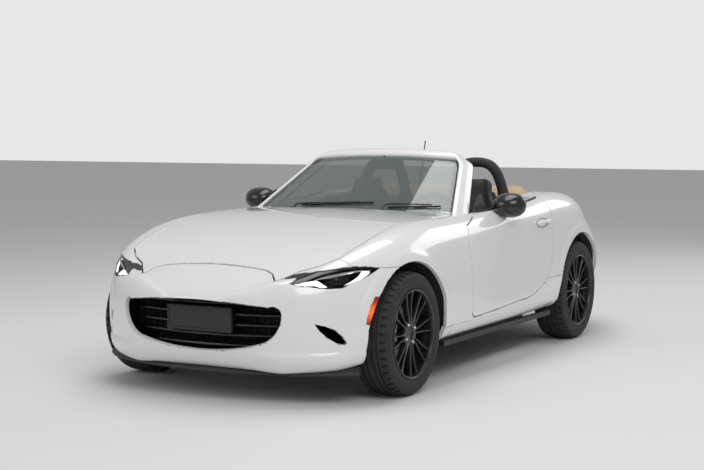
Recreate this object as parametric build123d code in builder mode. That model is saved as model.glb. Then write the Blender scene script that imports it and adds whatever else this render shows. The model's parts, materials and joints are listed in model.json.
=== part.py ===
"""Two-seat roadster convertible with its soft top folded: an assembly of separate pieces.

Frame: origin on the ground under the middle of the car, +X to the nose, +Y to the car's
left, +Z up. Millimetres. Left-hand drive.
"""
from build123d import *
import math
import os

os.makedirs("parts", exist_ok=True)

# ---------------------------------------------------------------- driving dimensions
HALF_LENGTH = 1957.0        # nose and tail, from the middle
WHEELBASE = 2310.0
FRONT_AXLE_X = 1252.0
REAR_AXLE_X = FRONT_AXLE_X - WHEELBASE
FRONT_TRACK = 1495.0
REAR_TRACK = 1505.0
PANEL = 24.0                # thickness of a body panel with its inner frame
SEAT_GAP = 0.3              # where one piece seats on a curved face of another
SHUT = 5.0                  # gap round doors, bonnet and boot lid

TYRE_RADIUS = 308.0
TYRE_WIDTH = 205.0
RIM_RADIUS = 218.0          # bead seat, where tyre and rim meet
RIM_WIDTH = 196.0
BARREL_WALL = 9.0
FLANGE = 6.0
SPOKE_PAIRS = 8
HUB_RADIUS = 40.0
DISC_RADIUS = 140.0
DISC_THICK = 22.0

FRONT_ARCH_X = 1240.0       # centre of the front wheel opening
FRONT_ARCH_R = 358.0
REAR_ARCH_R = 364.3
FRONT_LINER_R = 382.0       # inner wheel housings
REAR_LINER_R = 356.0
LINER_WALL = 8.0
LINER_INNER_Y = 428.0       # inboard wall of the wheel housings

DOOR_INNER_Y = 690.0        # plane of the door's inner face
DOOR_HINGE = (500.0, 840.0)
DOOR_TAPER = 6.0            # degrees, the door narrows inwards like a plug
HOOD_HINGE = (450.0, 822.0)
HINGE_PIN = 6.0
PIN_CLEAR = 0.3
HOOD_POST_Y = (575.0, 589.7)        # hinge posts under the bonnet's rear corners
HOOD_TAB_Y = (590.0, 606.0)         # the bonnet's own hinge tabs beside them
HOOD_RELIEF_X = (424.0, 476.0)      # pockets in wing and cowl that the rear corners swing in
HOOD_RELIEF_Y = (555.0, 640.0)
COWL_RELIEF_Y = (555.0, 616.0)
BOOT_HINGE = (-1305.0, 901.0)
BOOT_HINGE_GAP = 8.0        # ahead of the boot lid, which swings up through it
BOOT_KNUCKLES = (110.0, 190.0)
STEER_AXIS_Y = 690.0

SILL_TOP = 300.0
FLOOR_Z = 168.0
FLOOR_THICK = 14.0
CABIN_HALF = 640.0          # half width of the floor between the sills
FIREWALL_X = 560.0
REAR_WALL_X = -640.0

# ---------------------------------------------------------------- the body's own shape
# Half sections along the car. Columns: x, then y and z of the sill edge, of the side
# crease, of the flank, of the shoulder and of the ridge, then the height in the middle.
SECTIONS = [
    (1957, (130, 470), (175, 478), (190, 490), (180, 501), (130, 509), 514),
    (1930, (190, 380), (270, 400), (315, 455), (300, 505), (200, 538), 543),
    (1895, (240, 235), (345, 275), (410, 420), (390, 510), (260, 558), 571),
    (1850, (330, 172), (420, 215), (500, 420), (480, 530), (340, 585), 603),
    (1780, (510, 168), (570, 215), (607, 420), (580, 545), (440, 608), 637),
    (1680, (640, 170), (680, 220), (697, 420), (672, 576), (534, 656), 684),
    (1560, (740, 185), (775, 250), (790, 430), (749, 616), (604, 712), 732),
    (1400, (790, 205), (828, 280), (842, 470), (796, 662), (632, 763), 780),
    (1252, (803, 210), (842, 290), (858, 500), (815, 696), (645, 799), 812),
    (1000, (812, 215), (850, 298), (853, 520), (820, 721), (654, 836), 847),
    (700, (822, 220), (858, 308), (846, 540), (815, 735), (650, 850), 868),
    (400, (826, 222), (862, 314), (842, 540), (815, 750), (665, 853), 878),
    (0, (828, 222), (864, 328), (840, 540), (828, 765), (738, 866), 882),
    (-400, (830, 222), (866, 362), (850, 560), (842, 775), (745, 888), 892),
    (-760, (830, 225), (864, 400), (863, 560), (851, 788), (732, 923), 920),
    (-1058, (828, 235), (862, 400), (867, 560), (843, 792), (670, 920), 922),
    (-1350, (800, 250), (838, 400), (848, 560), (770, 746), (604, 892), 908),
    (-1560, (735, 262), (765, 400), (775, 550), (682, 734), (520, 872), 895),
    (-1720, (670, 275), (705, 400), (716, 550), (625, 700), (445, 852), 883),
    (-1840, (580, 300), (620, 400), (645, 530), (568, 680), (395, 815), 858),
    (-1910, (480, 340), (530, 420), (575, 520), (530, 620), (380, 690), 705),
    (-1957, (330, 460), (380, 490), (400, 530), (385, 570), (330, 600), 605),
]
SHOULDER_CROWN = 0.18       # rise of the arc from shoulder to ridge, as a share of its chord
# A point with a third value, VIA, is the middle of an arc between its neighbours.
VIA = 1
# Side view (x, z)
DOOR_OUTLINE = [
    (590, 335), (565, 530, VIA), (556, 728), (505, 800), (330, 845), (330, 1000), (-585, 1000),
    (-588, 700), (-562, 535, VIA), (-480, 425), (-300, 364, VIA), (-60, 340), (286, 322), (560, 315),
]
LAMP_OUTLINE = [
    (1826, 586), (1737, 573), (1684, 565), (1626, 585), (1540, 622), (1467, 648),
    (1540, 651), (1662, 653), (1716, 637), (1805, 603),
]
ABOVE_LAMP_OUTLINE = [      # between the lamp's upper edge and the bonnet
    (1467, 650), (1540, 652), (1662, 653), (1716, 637), (1805, 603), (1826, 586), (1840, 700), (1467, 700),
]
# Plan view (x, y), one half
HOOD_OUTLINE = [
    (1746, 300), (1765, 345), (1812, 388), (1716, 466), (1662, 545), (1583, 610),
    (1440, 632, VIA), (1288, 642), (1052, 634, VIA), (776, 628), (540, 632), (464, 632),
]
HOOD_FRONT_X = 1736.0       # middle of the bonnet's front edge
HOOD_REAR_X = 530.0         # middle of the bonnet's rear edge
BOOT_OUTLINE = [(-1322, 0), (-1322, 440), (-1500, 425), (-1700, 385), (-1830, 350), (-1990, 335)]
WELL_OUTLINE = [(-700, 600), (-1150, 560), (-1266, 470), (-1278, 0)]
BOOT_LIP_Z = 655.0          # lower edge of the boot lid's rear face
BUMPER_SEAM_Z = 645.0       # front bumper and wing meet here, ahead of the wheel
REAR_SEAM_Z = 640.0
REAR_SEAM_X = -1440.0
FENDER_OUTLINE = [(340, SILL_TOP + 1), (FRONT_ARCH_X, SILL_TOP + 1), (FRONT_ARCH_X, BUMPER_SEAM_Z + 1),
                  (1467, 650), (1540, 653), (1600, 655), (1600, 950), (340, 950)]
BUMPER_OUTLINE = [(FRONT_ARCH_X, 100), (2100, 100), (2100, 720), (1600, 720), (1600, 655),
                  (1467, BUMPER_SEAM_Z), (FRONT_ARCH_X, BUMPER_SEAM_Z)]
LAMP_INNER_Y = 382.0
# Ends behind in the wheel opening, which cuts it off
MARKER_OUTLINE = [(1526, 516), (1570, 522), (1600, 480), (1614, 424), (1612, 394), (1586, 388), (1550, 440)]
FRONT_ARCH_REAR = 912.0     # the opening is cut off straight behind the tyre
FRONT_ARCH_FRONT = 1594.0
# Front view (y, z)
GRILLE_OUTLINE = [(-400, 478), (0, 506, VIA), (400, 478), (450, 466, VIA), (457, 440), (428, 354, VIA),
                  (352, 300), (0, 252, VIA), (-352, 300), (-428, 354, VIA), (-457, 440), (-450, 466, VIA)]
FOG_OUTLINE = [(584, 404), (657, 374, VIA), (716, 306), (700, 297), (636, 332, VIA)]
GRILLE_BACK = (1778.0, 1790.0)      # the plate behind the slats
GRILLE_FACE = (1806.0, 1884.0)      # front of the slats at the ends and in the middle
GRILLE_SLOTS = [(262, 300), (312, 350), (362, 400), (412, 450), (462, 500)]
GRILLE_HALF = 470.0
PLATE_SIZE = (380.0, 130.0)
PLATE_LOW = 340.0
PLATE_FACE = 1898.0
# Plan (x, y)
CHIN_OUTLINE = [(1868, 0), (1850, 250), (1802, 446), (1745, 590), (1688, 675), (1615, 750)]
CHIN_LOW = 142.0
CHIN_HIGH = 176.0
CHIN_DEPTH = 70.0
DECK_OUTLINE = [(-760, 640), (-1100, 600), (-1250, 540), (-1480, 460), (-1480, 0)]
QUARTER_OUTLINE = [(-440, 433), (-1300, 433), (REAR_SEAM_X, REAR_SEAM_Z), (-2000, REAR_SEAM_Z),
                   (-2000, 1000), (-440, 1000)]
REAR_BUMPER_OUTLINE = [(-1200, 432), (-1300, 432), (REAR_SEAM_X, REAR_SEAM_Z - 1), (-2000, REAR_SEAM_Z - 1),
                       (-2000, 150), (-1200, 150)]
SILL_OUTLINE = [(-760, 150), (FRONT_ARCH_REAR, 150), (FRONT_ARCH_REAR, SILL_TOP), (596, SILL_TOP),
                (596, 345), (300, 432), (-760, 432)]
UNDER_OUTLINE = [(-1150, 740), (-1560, 680), (-1720, 610), (-1830, 505), (-1830, 0)]
DIFFUSER_HALF = 430.0
DIFFUSER_TOP = 372.0
TIP_YS = (-270.0, -366.0)
TIP_Z = 268.0
TIP_RADIUS = 38.0
TAIL_LAMP_AT = (500.0, 735.0)
TAIL_LAMP_R = 62.0
TAIL_LAMP_X = -1800.0
TAIL_LAMP_REACH = 620.0     # of the holes along the car, before and behind the tail
HANDLE_SIZE = (200.0, 26.0, 34.0)
SCREEN_BASE = (446.0, 0.0, 868.0)
SCREEN_BASE_CORNER = (344.0, 626.0, 846.0)
SCREEN_TOP = (-66.0, 0.0, 1180.0)
SCREEN_TOP_CORNER = (-104.0, 462.0, 1158.0)
SCREEN_RAKE = math.atan2(SCREEN_TOP[2] - SCREEN_BASE[2], SCREEN_BASE[0] - SCREEN_TOP[0])
FRAME_THICK = 34.0
GLASS_THICK = 5.0
GLASS_GAP = 1.5             # between the glass and its pillars
# Pillar sections in plan (x, y), at the screen's lower and upper corners
PILLAR_BASE = [(386, 626.3), (368, 662), (238, 682), (246, 646), (300, 626.3)]
PILLAR_TOP = [(-84, 462.3), (-96, 494), (-214, 512), (-208, 478), (-150, 462.3)]
COWL_OUTLINE_REAR = 240.0
COWL_GAP = 12.0
CABIN_Y = (-(CABIN_HALF - SEAT_GAP), CABIN_HALF - SEAT_GAP)
FLOOR_X = (REAR_WALL_X + SEAT_GAP, FIREWALL_X + 46 - SEAT_GAP)
TUNNEL_HALF = 150.0
TUNNEL_TOP = 400.0
TUNNEL_WALL = 14.0
FIREWALL = (FIREWALL_X + 46, FIREWALL_X + 60)
REAR_WALL = (REAR_WALL_X - 14, REAR_WALL_X)
SHELF_X = 380.0
SHELF_Z = (606.0, 620.0)
REAR_SHELF_Z = (826.0, 840.0)
RAIL_Y = (334.0, 412.0)
CROSSMEMBER_Z = (400.0, 500.0)
HANGER_YS = (-300.0, -60.0)     # straps that hold the silencer to the crossmember
POST_Y = (CABIN_HALF - SEAT_GAP, 850.0)
EXHAUST_RADIUS = 26.0
EXHAUST_ROUTE = [(520, -100, 218), (-700, -100, 218), (-900, -250, 238), (-1520, -250, 250)]
STEERING_AT = (-5.0, 365.0, 780.0)
STEERING_RAKE = 22.0
STEERING_AXIS = (math.cos(math.radians(STEERING_RAKE)), 0.0, -math.sin(math.radians(STEERING_RAKE)))
COLUMN_RADIUS = 24.0
MIRROR_AT = (28.0, 830.0, 887.0)
SPOKE_Z = 62.0
DISC_Z = -20.0
BALL_LOW_Z = 190.0
BALL_HIGH_Z = 425.0
CALIPER_FROM = 66.0
CALIPER_TO = 158.0
CALIPER_HALF = 62.0


def body_section(row, inset):
    """One closed section of the body, moved inwards by inset."""
    x, sill, crease, flank, shoulder, ridge, crown = row
    place = Plane(origin=(x * (1 - inset / HALF_LENGTH), 0, 0), x_dir=(0, 1, 0), z_dir=(1, 0, 0))
    sy, sz = sill[0] - inset, sill[1] + inset
    cy, cz = crease[0] - inset, crease[1] + inset / 2
    fy, fz = flank[0] - inset, flank[1]
    hy, hz = shoulder[0] - inset, shoulder[1] - inset / 2
    ry, rz = ridge[0] - inset / 2, ridge[1] - inset
    with BuildSketch(place) as section:
        with BuildLine():
            for side in (1, -1):
                rise = side * SHOULDER_CROWN * math.hypot(hy - ry, hz - rz)
                Line((side * sy, sz), (side * cy, cz))
                ThreePointArc((side * cy, cz), (side * fy, fz), (side * hy, hz))
                SagittaArc((side * hy, hz), (side * ry, rz), rise)
            Line((-sy, sz), (sy, sz))
            ThreePointArc((-ry, rz), (0, crown - inset), (ry, rz))
        make_face()
    return section.sketch


def body_form(inset):
    """The whole car's outer form, or the same form moved inwards by inset."""
    return loft([body_section(row, inset) for row in SECTIONS])


outer_form = body_form(0)
inner_form = body_form(PANEL)
lining_form = body_form(PANEL + SEAT_GAP)
body_shell = outer_form - inner_form

# ---------------------------------------------------------------- outlines of the panels


def draw(points, closed=True):
    """Draw an outline of lines and arcs into the line that is being built."""
    count = len(points)
    i = 0
    while i < (count if closed else count - 1):
        here, after = points[i], points[(i + 1) % count]
        if len(after) == 3:
            ThreePointArc(here[:2], after[:2], points[(i + 2) % count][:2])
            i += 2
        else:
            Line(here, after)
            i += 1


def cut_side(points, mode=Mode.INTERSECT, gap=0.0, reach=1000.0):
    """Use a side-view outline over the whole width, grown by gap."""
    with BuildSketch(Plane.XZ) as outline:
        with BuildLine():
            draw(points)
        make_face()
        if gap:
            offset(amount=gap, kind=Kind.INTERSECTION)
    extrude(outline.sketch, amount=reach, both=True, mode=mode)


def cut_front(points, x, mode=Mode.INTERSECT):
    """Use a front-view outline (y, z) on both sides of the car, between two values of x."""
    with BuildSketch(Plane(origin=(x[0], 0, 0), x_dir=(0, 1, 0), z_dir=(1, 0, 0))) as outline:
        for side in (1, -1):
            with BuildLine():
                draw([(side * point[0], *point[1:]) for point in points])
            make_face()
    extrude(outline.sketch, amount=x[1] - x[0], mode=mode)


def cut_grille(x, mode):
    """Use the grille's outline between two values of x."""
    with BuildSketch(Plane(origin=(x[0], 0, 0), x_dir=(0, 1, 0), z_dir=(1, 0, 0))) as opening:
        with BuildLine():
            draw(GRILLE_OUTLINE)
        make_face()
    extrude(opening.sketch, amount=x[1] - x[0], mode=mode)


def mirror_outline(points):
    """A half outline in plan and its mirror image, as one closed list of points."""
    return list(points) + [(x, -y) for x, y in reversed(points) if y != 0]


def cut_plan(points, low, high, mode=Mode.INTERSECT, gap=0.0):
    """Use a plan outline between two heights, grown by gap."""
    with BuildSketch(Plane.XY.offset(low)) as outline:
        with BuildLine():
            Polyline(*points, close=True)
        make_face()
        if gap:
            offset(amount=gap, kind=Kind.INTERSECTION)
    extrude(outline.sketch, amount=high - low, mode=mode)


def box(x, y, z, mode=Mode.ADD):
    """A box between two values of each axis."""
    with Locations(((x[0] + x[1]) / 2, (y[0] + y[1]) / 2, (z[0] + z[1]) / 2)):
        Box(x[1] - x[0], y[1] - y[0], z[1] - z[0], mode=mode)


def both_sides(x, y, z, mode=Mode.ADD):
    """The same box on the left and on the right."""
    box(x, y, z, mode)
    box(x, (-y[1], -y[0]), z, mode)


def wheel_opening(centre_x, radius, reach=1000.0, mode=Mode.SUBTRACT):
    """A round wheel opening through both sides."""
    with Locations((centre_x, 0, TYRE_RADIUS)):
        Cylinder(radius, 2 * reach, rotation=(90, 0, 0), mode=mode)


def rod(start, end, radius, mode=Mode.ADD):
    """A round bar between two points, in the part that is being built."""
    start, end = Vector(start), Vector(end)
    place = Plane(origin=start, z_dir=end - start)
    with BuildSketch(place) as disc:
        Circle(radius)
    extrude(disc.sketch, amount=(end - start).length, mode=mode)


def finish(part, name):
    """Label a finished piece and write it."""
    part.part.label = name
    export_step(part.part, f"parts/{name}.step")


def handle_at(side):
    return (-436, side * 852, 766)


def front_wheel_opening(mode=Mode.SUBTRACT):
    """The front wheel opening: a circle, cut off straight before and behind the tyre."""
    with BuildSketch(Plane.XZ) as opening:
        with Locations((FRONT_ARCH_X, TYRE_RADIUS)):
            Circle(FRONT_ARCH_R)
        with Locations(((FRONT_ARCH_REAR + FRONT_ARCH_FRONT) / 2, TYRE_RADIUS)):
            Rectangle(FRONT_ARCH_FRONT - FRONT_ARCH_REAR, 2 * FRONT_ARCH_R, mode=Mode.INTERSECT)
    extrude(opening.sketch, amount=1000, both=True, mode=mode)


def tail_lamp_holes(gap, mode):
    """The round tail lamps as cylinders along the car, grown by gap."""
    for side in (1, -1):
        with Locations((-HALF_LENGTH, side * TAIL_LAMP_AT[0], TAIL_LAMP_AT[1])):
            Cylinder(TAIL_LAMP_R + gap, TAIL_LAMP_REACH, rotation=(0, 90, 0), mode=mode)


boot_points = mirror_outline(BOOT_OUTLINE)
well_points = mirror_outline(WELL_OUTLINE)


def hood_region(gap, mode):
    """The bonnet's outline through the full height, grown by gap."""
    right = [(point[0], -point[1], *point[2:]) for point in HOOD_OUTLINE]
    with BuildSketch(Plane.XY) as outline:
        with BuildLine():
            draw(HOOD_OUTLINE, closed=False)
            draw(right, closed=False)
            ThreePointArc(HOOD_OUTLINE[-1], (HOOD_REAR_X, 0), right[-1])
            ThreePointArc(HOOD_OUTLINE[0], (HOOD_FRONT_X, 0), right[0])
        make_face()
        if gap:
            offset(amount=gap, kind=Kind.INTERSECTION)
    extrude(outline.sketch, amount=1200, mode=mode)


# ---------------------------------------------------------------- front panels
with BuildPart() as front_shell:
    add(body_shell)
    box((330, 2100), (-900, 900), (100, 1000), Mode.INTERSECT)

with BuildPart() as hood:
    add(front_shell.part)
    hood_region(0, Mode.INTERSECT)
    box((300, 2000), (-900, 900), (0, 560), Mode.SUBTRACT)
    both_sides((HOOD_HINGE[0] - 8, HOOD_HINGE[0] + 55), HOOD_TAB_Y, (HOOD_HINGE[1] - 6, HOOD_HINGE[1] + 14))
    for side in (1, -1):
        rod((HOOD_HINGE[0], side * (HOOD_POST_Y[0] - 3), HOOD_HINGE[1]),
            (HOOD_HINGE[0], side * HOOD_TAB_Y[1], HOOD_HINGE[1]), HINGE_PIN)
finish(hood, "hood")

with BuildPart() as front_fenders:
    add(front_shell.part)
    cut_side(FENDER_OUTLINE)
    hood_region(SHUT, Mode.SUBTRACT)
    cut_side(DOOR_OUTLINE, Mode.SUBTRACT)
    cut_side(SILL_OUTLINE, Mode.SUBTRACT, gap=1)
    front_wheel_opening()
    box((300, 2000), (-560, 560), (0, 1200), Mode.SUBTRACT)
    both_sides(HOOD_RELIEF_X, HOOD_RELIEF_Y, (780, 1000), Mode.SUBTRACT)
finish(front_fenders, "front_fenders")

with BuildPart() as lamp_openings:
    cut_side(LAMP_OUTLINE, Mode.ADD, gap=1)
    cut_side(ABOVE_LAMP_OUTLINE, Mode.ADD)
    box((1400, 2000), (-LAMP_INNER_Y, LAMP_INNER_Y), (500, 700), Mode.SUBTRACT)

with BuildPart() as front_bumper:
    add(front_shell.part)
    cut_side(BUMPER_OUTLINE)
    hood_region(SHUT + 1, Mode.SUBTRACT)
    front_wheel_opening()
    add(lamp_openings.part, mode=Mode.SUBTRACT)
    cut_grille((1700, 2000), Mode.SUBTRACT)
    cut_front(FOG_OUTLINE, (1500, 2000), Mode.SUBTRACT)
    cut_side(MARKER_OUTLINE, Mode.SUBTRACT, gap=1)
finish(front_bumper, "front_bumper")

with BuildPart() as headlamps:
    add(outer_form)
    cut_side(LAMP_OUTLINE)
    box((1400, 2000), (-LAMP_INNER_Y, LAMP_INNER_Y), (500, 700), Mode.SUBTRACT)
    cut_plan([(1300, -645), (1300, 645), (1467, 645), (1750, 385), (1750, -385), (1467, -645)],
             400, 800, Mode.SUBTRACT)
    hood_region(SHUT, Mode.SUBTRACT)
finish(headlamps, "headlamps")

with BuildPart() as side_markers:
    add(front_shell.part)
    cut_side(MARKER_OUTLINE)
    front_wheel_opening()
finish(side_markers, "side_markers")

with BuildPart() as chin_spoiler:
    cut_plan(mirror_outline(CHIN_OUTLINE), CHIN_LOW, CHIN_HIGH, Mode.ADD)
    cut_plan(mirror_outline([(x - CHIN_DEPTH, y - CHIN_DEPTH / 2 if y else 0) for x, y in CHIN_OUTLINE]),
             CHIN_LOW - 1, CHIN_HIGH + 1, Mode.SUBTRACT)
    add(outer_form, mode=Mode.SUBTRACT)
finish(chin_spoiler, "chin_spoiler")

with BuildPart() as grille:
    with BuildSketch(Plane.XY.offset(GRILLE_SLOTS[0][0] - 20)) as face:
        with BuildLine():
            ThreePointArc((GRILLE_FACE[0], -GRILLE_HALF), (GRILLE_FACE[1], 0), (GRILLE_FACE[0], GRILLE_HALF))
            Polyline((GRILLE_FACE[0], GRILLE_HALF), (GRILLE_BACK[0], GRILLE_HALF),
                     (GRILLE_BACK[0], -GRILLE_HALF), (GRILLE_FACE[0], -GRILLE_HALF))
        make_face()
    extrude(face.sketch, amount=280)
    cut_grille((1700, 2000), Mode.INTERSECT)
    box(GRILLE_BACK, (-GRILLE_HALF - 100, GRILLE_HALF + 100), (200, 560))
    add(lining_form, mode=Mode.INTERSECT)
    for slot in GRILLE_SLOTS:
        box((GRILLE_BACK[1], 2000), (-GRILLE_HALF, GRILLE_HALF), slot, Mode.SUBTRACT)
    box((GRILLE_BACK[0], PLATE_FACE), (-PLATE_SIZE[0] / 2, PLATE_SIZE[0] / 2),
        (PLATE_LOW, PLATE_LOW + PLATE_SIZE[1]))
finish(grille, "grille")

# ---------------------------------------------------------------- rear panels
with BuildPart() as rear_shell:
    add(body_shell)
    box((-2100, -440), (-900, 900), (100, 1000), Mode.INTERSECT)

with BuildPart() as rear_quarters:
    add(rear_shell.part)
    cut_side(QUARTER_OUTLINE)
    cut_side(DOOR_OUTLINE, Mode.SUBTRACT)
    cut_plan(boot_points, BOOT_LIP_Z - SHUT, 1200, Mode.SUBTRACT, gap=SHUT)
    cut_plan(mirror_outline(DECK_OUTLINE), 500, 1200, Mode.SUBTRACT, gap=1)
    wheel_opening(REAR_AXLE_X, REAR_ARCH_R)
    box((-700, -400), (-DOOR_INNER_Y, DOOR_INNER_Y), (0, 1200), Mode.SUBTRACT)
    box((-2100, -400), (-300, 300), (0, 1200), Mode.SUBTRACT)
    tail_lamp_holes(1, Mode.SUBTRACT)
finish(rear_quarters, "rear_quarters")

with BuildPart() as rear_deck:
    add(rear_shell.part)
    cut_plan(mirror_outline(DECK_OUTLINE), 600, 1200)
    cut_plan(well_points, 600, 1200, Mode.SUBTRACT)
    cut_plan(boot_points, 600, 1200, Mode.SUBTRACT, gap=BOOT_HINGE_GAP)
    both_sides((BOOT_HINGE[0] - 30, BOOT_HINGE[0] + 12), BOOT_KNUCKLES, (800, 1000), Mode.SUBTRACT)
finish(rear_deck, "rear_deck")

with BuildPart() as boot_lid:
    add(rear_shell.part)
    cut_plan(boot_points, BOOT_LIP_Z, 1200)
    for side in (1, -1):
        rod((BOOT_HINGE[0], side * (BOOT_KNUCKLES[0] + SEAT_GAP), BOOT_HINGE[1]),
            (BOOT_HINGE[0], side * (BOOT_KNUCKLES[1] - SEAT_GAP), BOOT_HINGE[1]), 5)
    both_sides((BOOT_OUTLINE[0][0] - 2, BOOT_HINGE[0]), (BOOT_KNUCKLES[0] + SEAT_GAP,
                                                         BOOT_KNUCKLES[1] - SEAT_GAP),
               (BOOT_HINGE[1] - 5, BOOT_HINGE[1] + 4))
finish(boot_lid, "boot_lid")

with BuildPart() as rear_bumper:
    add(rear_shell.part)
    cut_side(REAR_BUMPER_OUTLINE)
    wheel_opening(REAR_AXLE_X, REAR_ARCH_R)
    box((-2100, -1700), (-DIFFUSER_HALF, DIFFUSER_HALF), (0, DIFFUSER_TOP), Mode.SUBTRACT)
    cut_plan(mirror_outline(UNDER_OUTLINE), 0, 390, Mode.SUBTRACT)
    tail_lamp_holes(1, Mode.SUBTRACT)
finish(rear_bumper, "rear_bumper")

with BuildPart() as rear_diffuser:
    add(rear_shell.part)
    box((-2100, -1700 - SEAT_GAP), (-DIFFUSER_HALF + SEAT_GAP, DIFFUSER_HALF - SEAT_GAP),
        (0, DIFFUSER_TOP - SEAT_GAP),
        Mode.INTERSECT)
    cut_plan(mirror_outline(UNDER_OUTLINE), 0, 340, Mode.SUBTRACT)
    for y in TIP_YS:
        rod((-1700, y, TIP_Z), (-2000, y, TIP_Z), TIP_RADIUS + 8, Mode.SUBTRACT)
finish(rear_diffuser, "rear_diffuser")

with BuildPart() as tail_lamps:
    tail_lamp_holes(0, Mode.ADD)
    box((TAIL_LAMP_X, 0), (-900, 900), (0, 1000), Mode.SUBTRACT)
    add(outer_form, mode=Mode.INTERSECT)
finish(tail_lamps, "tail_lamps")

# ---------------------------------------------------------------- doors and sills
for side, word in ((1, "left"), (-1, "right")):
    with BuildPart() as door:
        with BuildSketch(Plane.XZ.offset(-side * 870)) as outline:
            with BuildLine():
                draw(DOOR_OUTLINE)
            make_face()
            offset(amount=-SHUT * 0.6, kind=Kind.INTERSECTION)
        extrude(outline.sketch, amount=side * (870 - DOOR_INNER_Y), taper=DOOR_TAPER)
        add(outer_form, mode=Mode.INTERSECT)
        with Locations(Plane(origin=handle_at(side))):
            Box(*HANDLE_SIZE)
        rod((DOOR_HINGE[0], side * DOOR_HINGE[1], 288), (DOOR_HINGE[0], side * DOOR_HINGE[1], 360), HINGE_PIN)
    finish(door, f"door_{word}")

with BuildPart() as sills:
    add(outer_form)
    cut_side(SILL_OUTLINE)
    cut_side(DOOR_OUTLINE, Mode.SUBTRACT, gap=0)
    box((-2000, 2000), (-CABIN_HALF, CABIN_HALF), (0, 1000), Mode.SUBTRACT)
    wheel_opening(REAR_AXLE_X, REAR_ARCH_R)
    for side in (1, -1):
        rod((DOOR_HINGE[0], side * DOOR_HINGE[1], 287.7), (DOOR_HINGE[0], side * DOOR_HINGE[1], 400),
            HINGE_PIN + PIN_CLEAR, Mode.SUBTRACT)
finish(sills, "sills")

with BuildPart() as sill_skirts:
    both_sides((-640, 860), (790, 820), (194, 232))
    add(outer_form, mode=Mode.SUBTRACT)
finish(sill_skirts, "sill_skirts")

# ---------------------------------------------------------------- windscreen
def screen_slab(thick, base_half, top_half, low, high):
    """A curved slab along the windscreen, between two shares of its height."""
    sections = []
    for share in (low, high):
        half = base_half + (top_half - base_half) * share
        middle = Vector(*SCREEN_BASE) + (Vector(*SCREEN_TOP) - Vector(*SCREEN_BASE)) * share
        corner = Vector(*SCREEN_BASE_CORNER) + (Vector(*SCREEN_TOP_CORNER) - Vector(*SCREEN_BASE_CORNER)) * share
        back = middle - corner
        back = Vector(back.X, 0, back.Z)
        place = Plane(origin=middle, x_dir=(0, 1, 0), z_dir=Vector(-back.Z, 0, back.X))
        depth = back.length
        reach = thick / 2 / math.sin(SCREEN_RAKE)
        with BuildSketch(place) as strip:
            with BuildLine():
                ThreePointArc((-half, depth - reach), (0, -reach), (half, depth - reach))
                ThreePointArc((-half, depth + reach), (0, reach), (half, depth + reach))
                Line((-half, depth - reach), (-half, depth + reach))
                Line((half, depth - reach), (half, depth + reach))
            make_face()
        sections.append(strip.sketch)
    return loft(sections)


def pillar(side, low, high):
    """A windscreen pillar between two shares of the screen's height."""
    sections = []
    for share in (low, high):
        z = SCREEN_BASE_CORNER[2] + (SCREEN_TOP_CORNER[2] - SCREEN_BASE_CORNER[2]) * share
        points = [(a[0] + (b[0] - a[0]) * share, side * (a[1] + (b[1] - a[1]) * share))
                  for a, b in zip(PILLAR_BASE, PILLAR_TOP)]
        with BuildSketch(Plane.XY.offset(z)) as section:
            with BuildLine():
                Polyline(*points, close=True)
            make_face()
        sections.append(section.sketch)
    return loft(sections, ruled=True)


with BuildPart() as windscreen_frame:
    add(screen_slab(FRAME_THICK, 640, 480, 0.93, 1.05))
    for side in (1, -1):
        add(pillar(side, -0.2, 1.0))
    add(screen_slab(FRAME_THICK * 2, 626, 462, 0.5, 0.93), mode=Mode.SUBTRACT)
    add(outer_form, mode=Mode.SUBTRACT)
finish(windscreen_frame, "windscreen_frame")

with BuildPart() as screen_corners:
    add(outer_form)
    box((0, 700), (-900, 900), (600, 1000), Mode.INTERSECT)
    box((-10, 710), (SEAT_GAP - 560, 560 - SEAT_GAP), (500, 1100), Mode.SUBTRACT)

with BuildPart() as windscreen:
    add(screen_slab(GLASS_THICK, 626 - GLASS_GAP, 462 - GLASS_GAP, -0.08, 0.93 - 0.002))
    add(lining_form, mode=Mode.SUBTRACT)
    add(screen_corners.part, mode=Mode.SUBTRACT)
finish(windscreen, "windscreen")

with BuildPart() as cowl:
    add(lining_form)
    box((COWL_OUTLINE_REAR, 560), (-634, 634), (790, 1000), Mode.INTERSECT)
    hood_region(COWL_GAP, Mode.SUBTRACT)
    both_sides(HOOD_RELIEF_X, COWL_RELIEF_Y, (780, 1000), Mode.SUBTRACT)
finish(cowl, "cowl")

# ---------------------------------------------------------------- structure

with BuildPart() as floor_pan:
    box(FLOOR_X, CABIN_Y, (FLOOR_Z, FLOOR_Z + FLOOR_THICK))
    box(FLOOR_X, (-TUNNEL_HALF, TUNNEL_HALF), (FLOOR_Z, TUNNEL_TOP))
    box((-1000, 1000), (-TUNNEL_HALF + TUNNEL_WALL, TUNNEL_HALF - TUNNEL_WALL),
        (FLOOR_Z - 1, TUNNEL_TOP - TUNNEL_WALL), Mode.SUBTRACT)
finish(floor_pan, "floor_pan")

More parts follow.
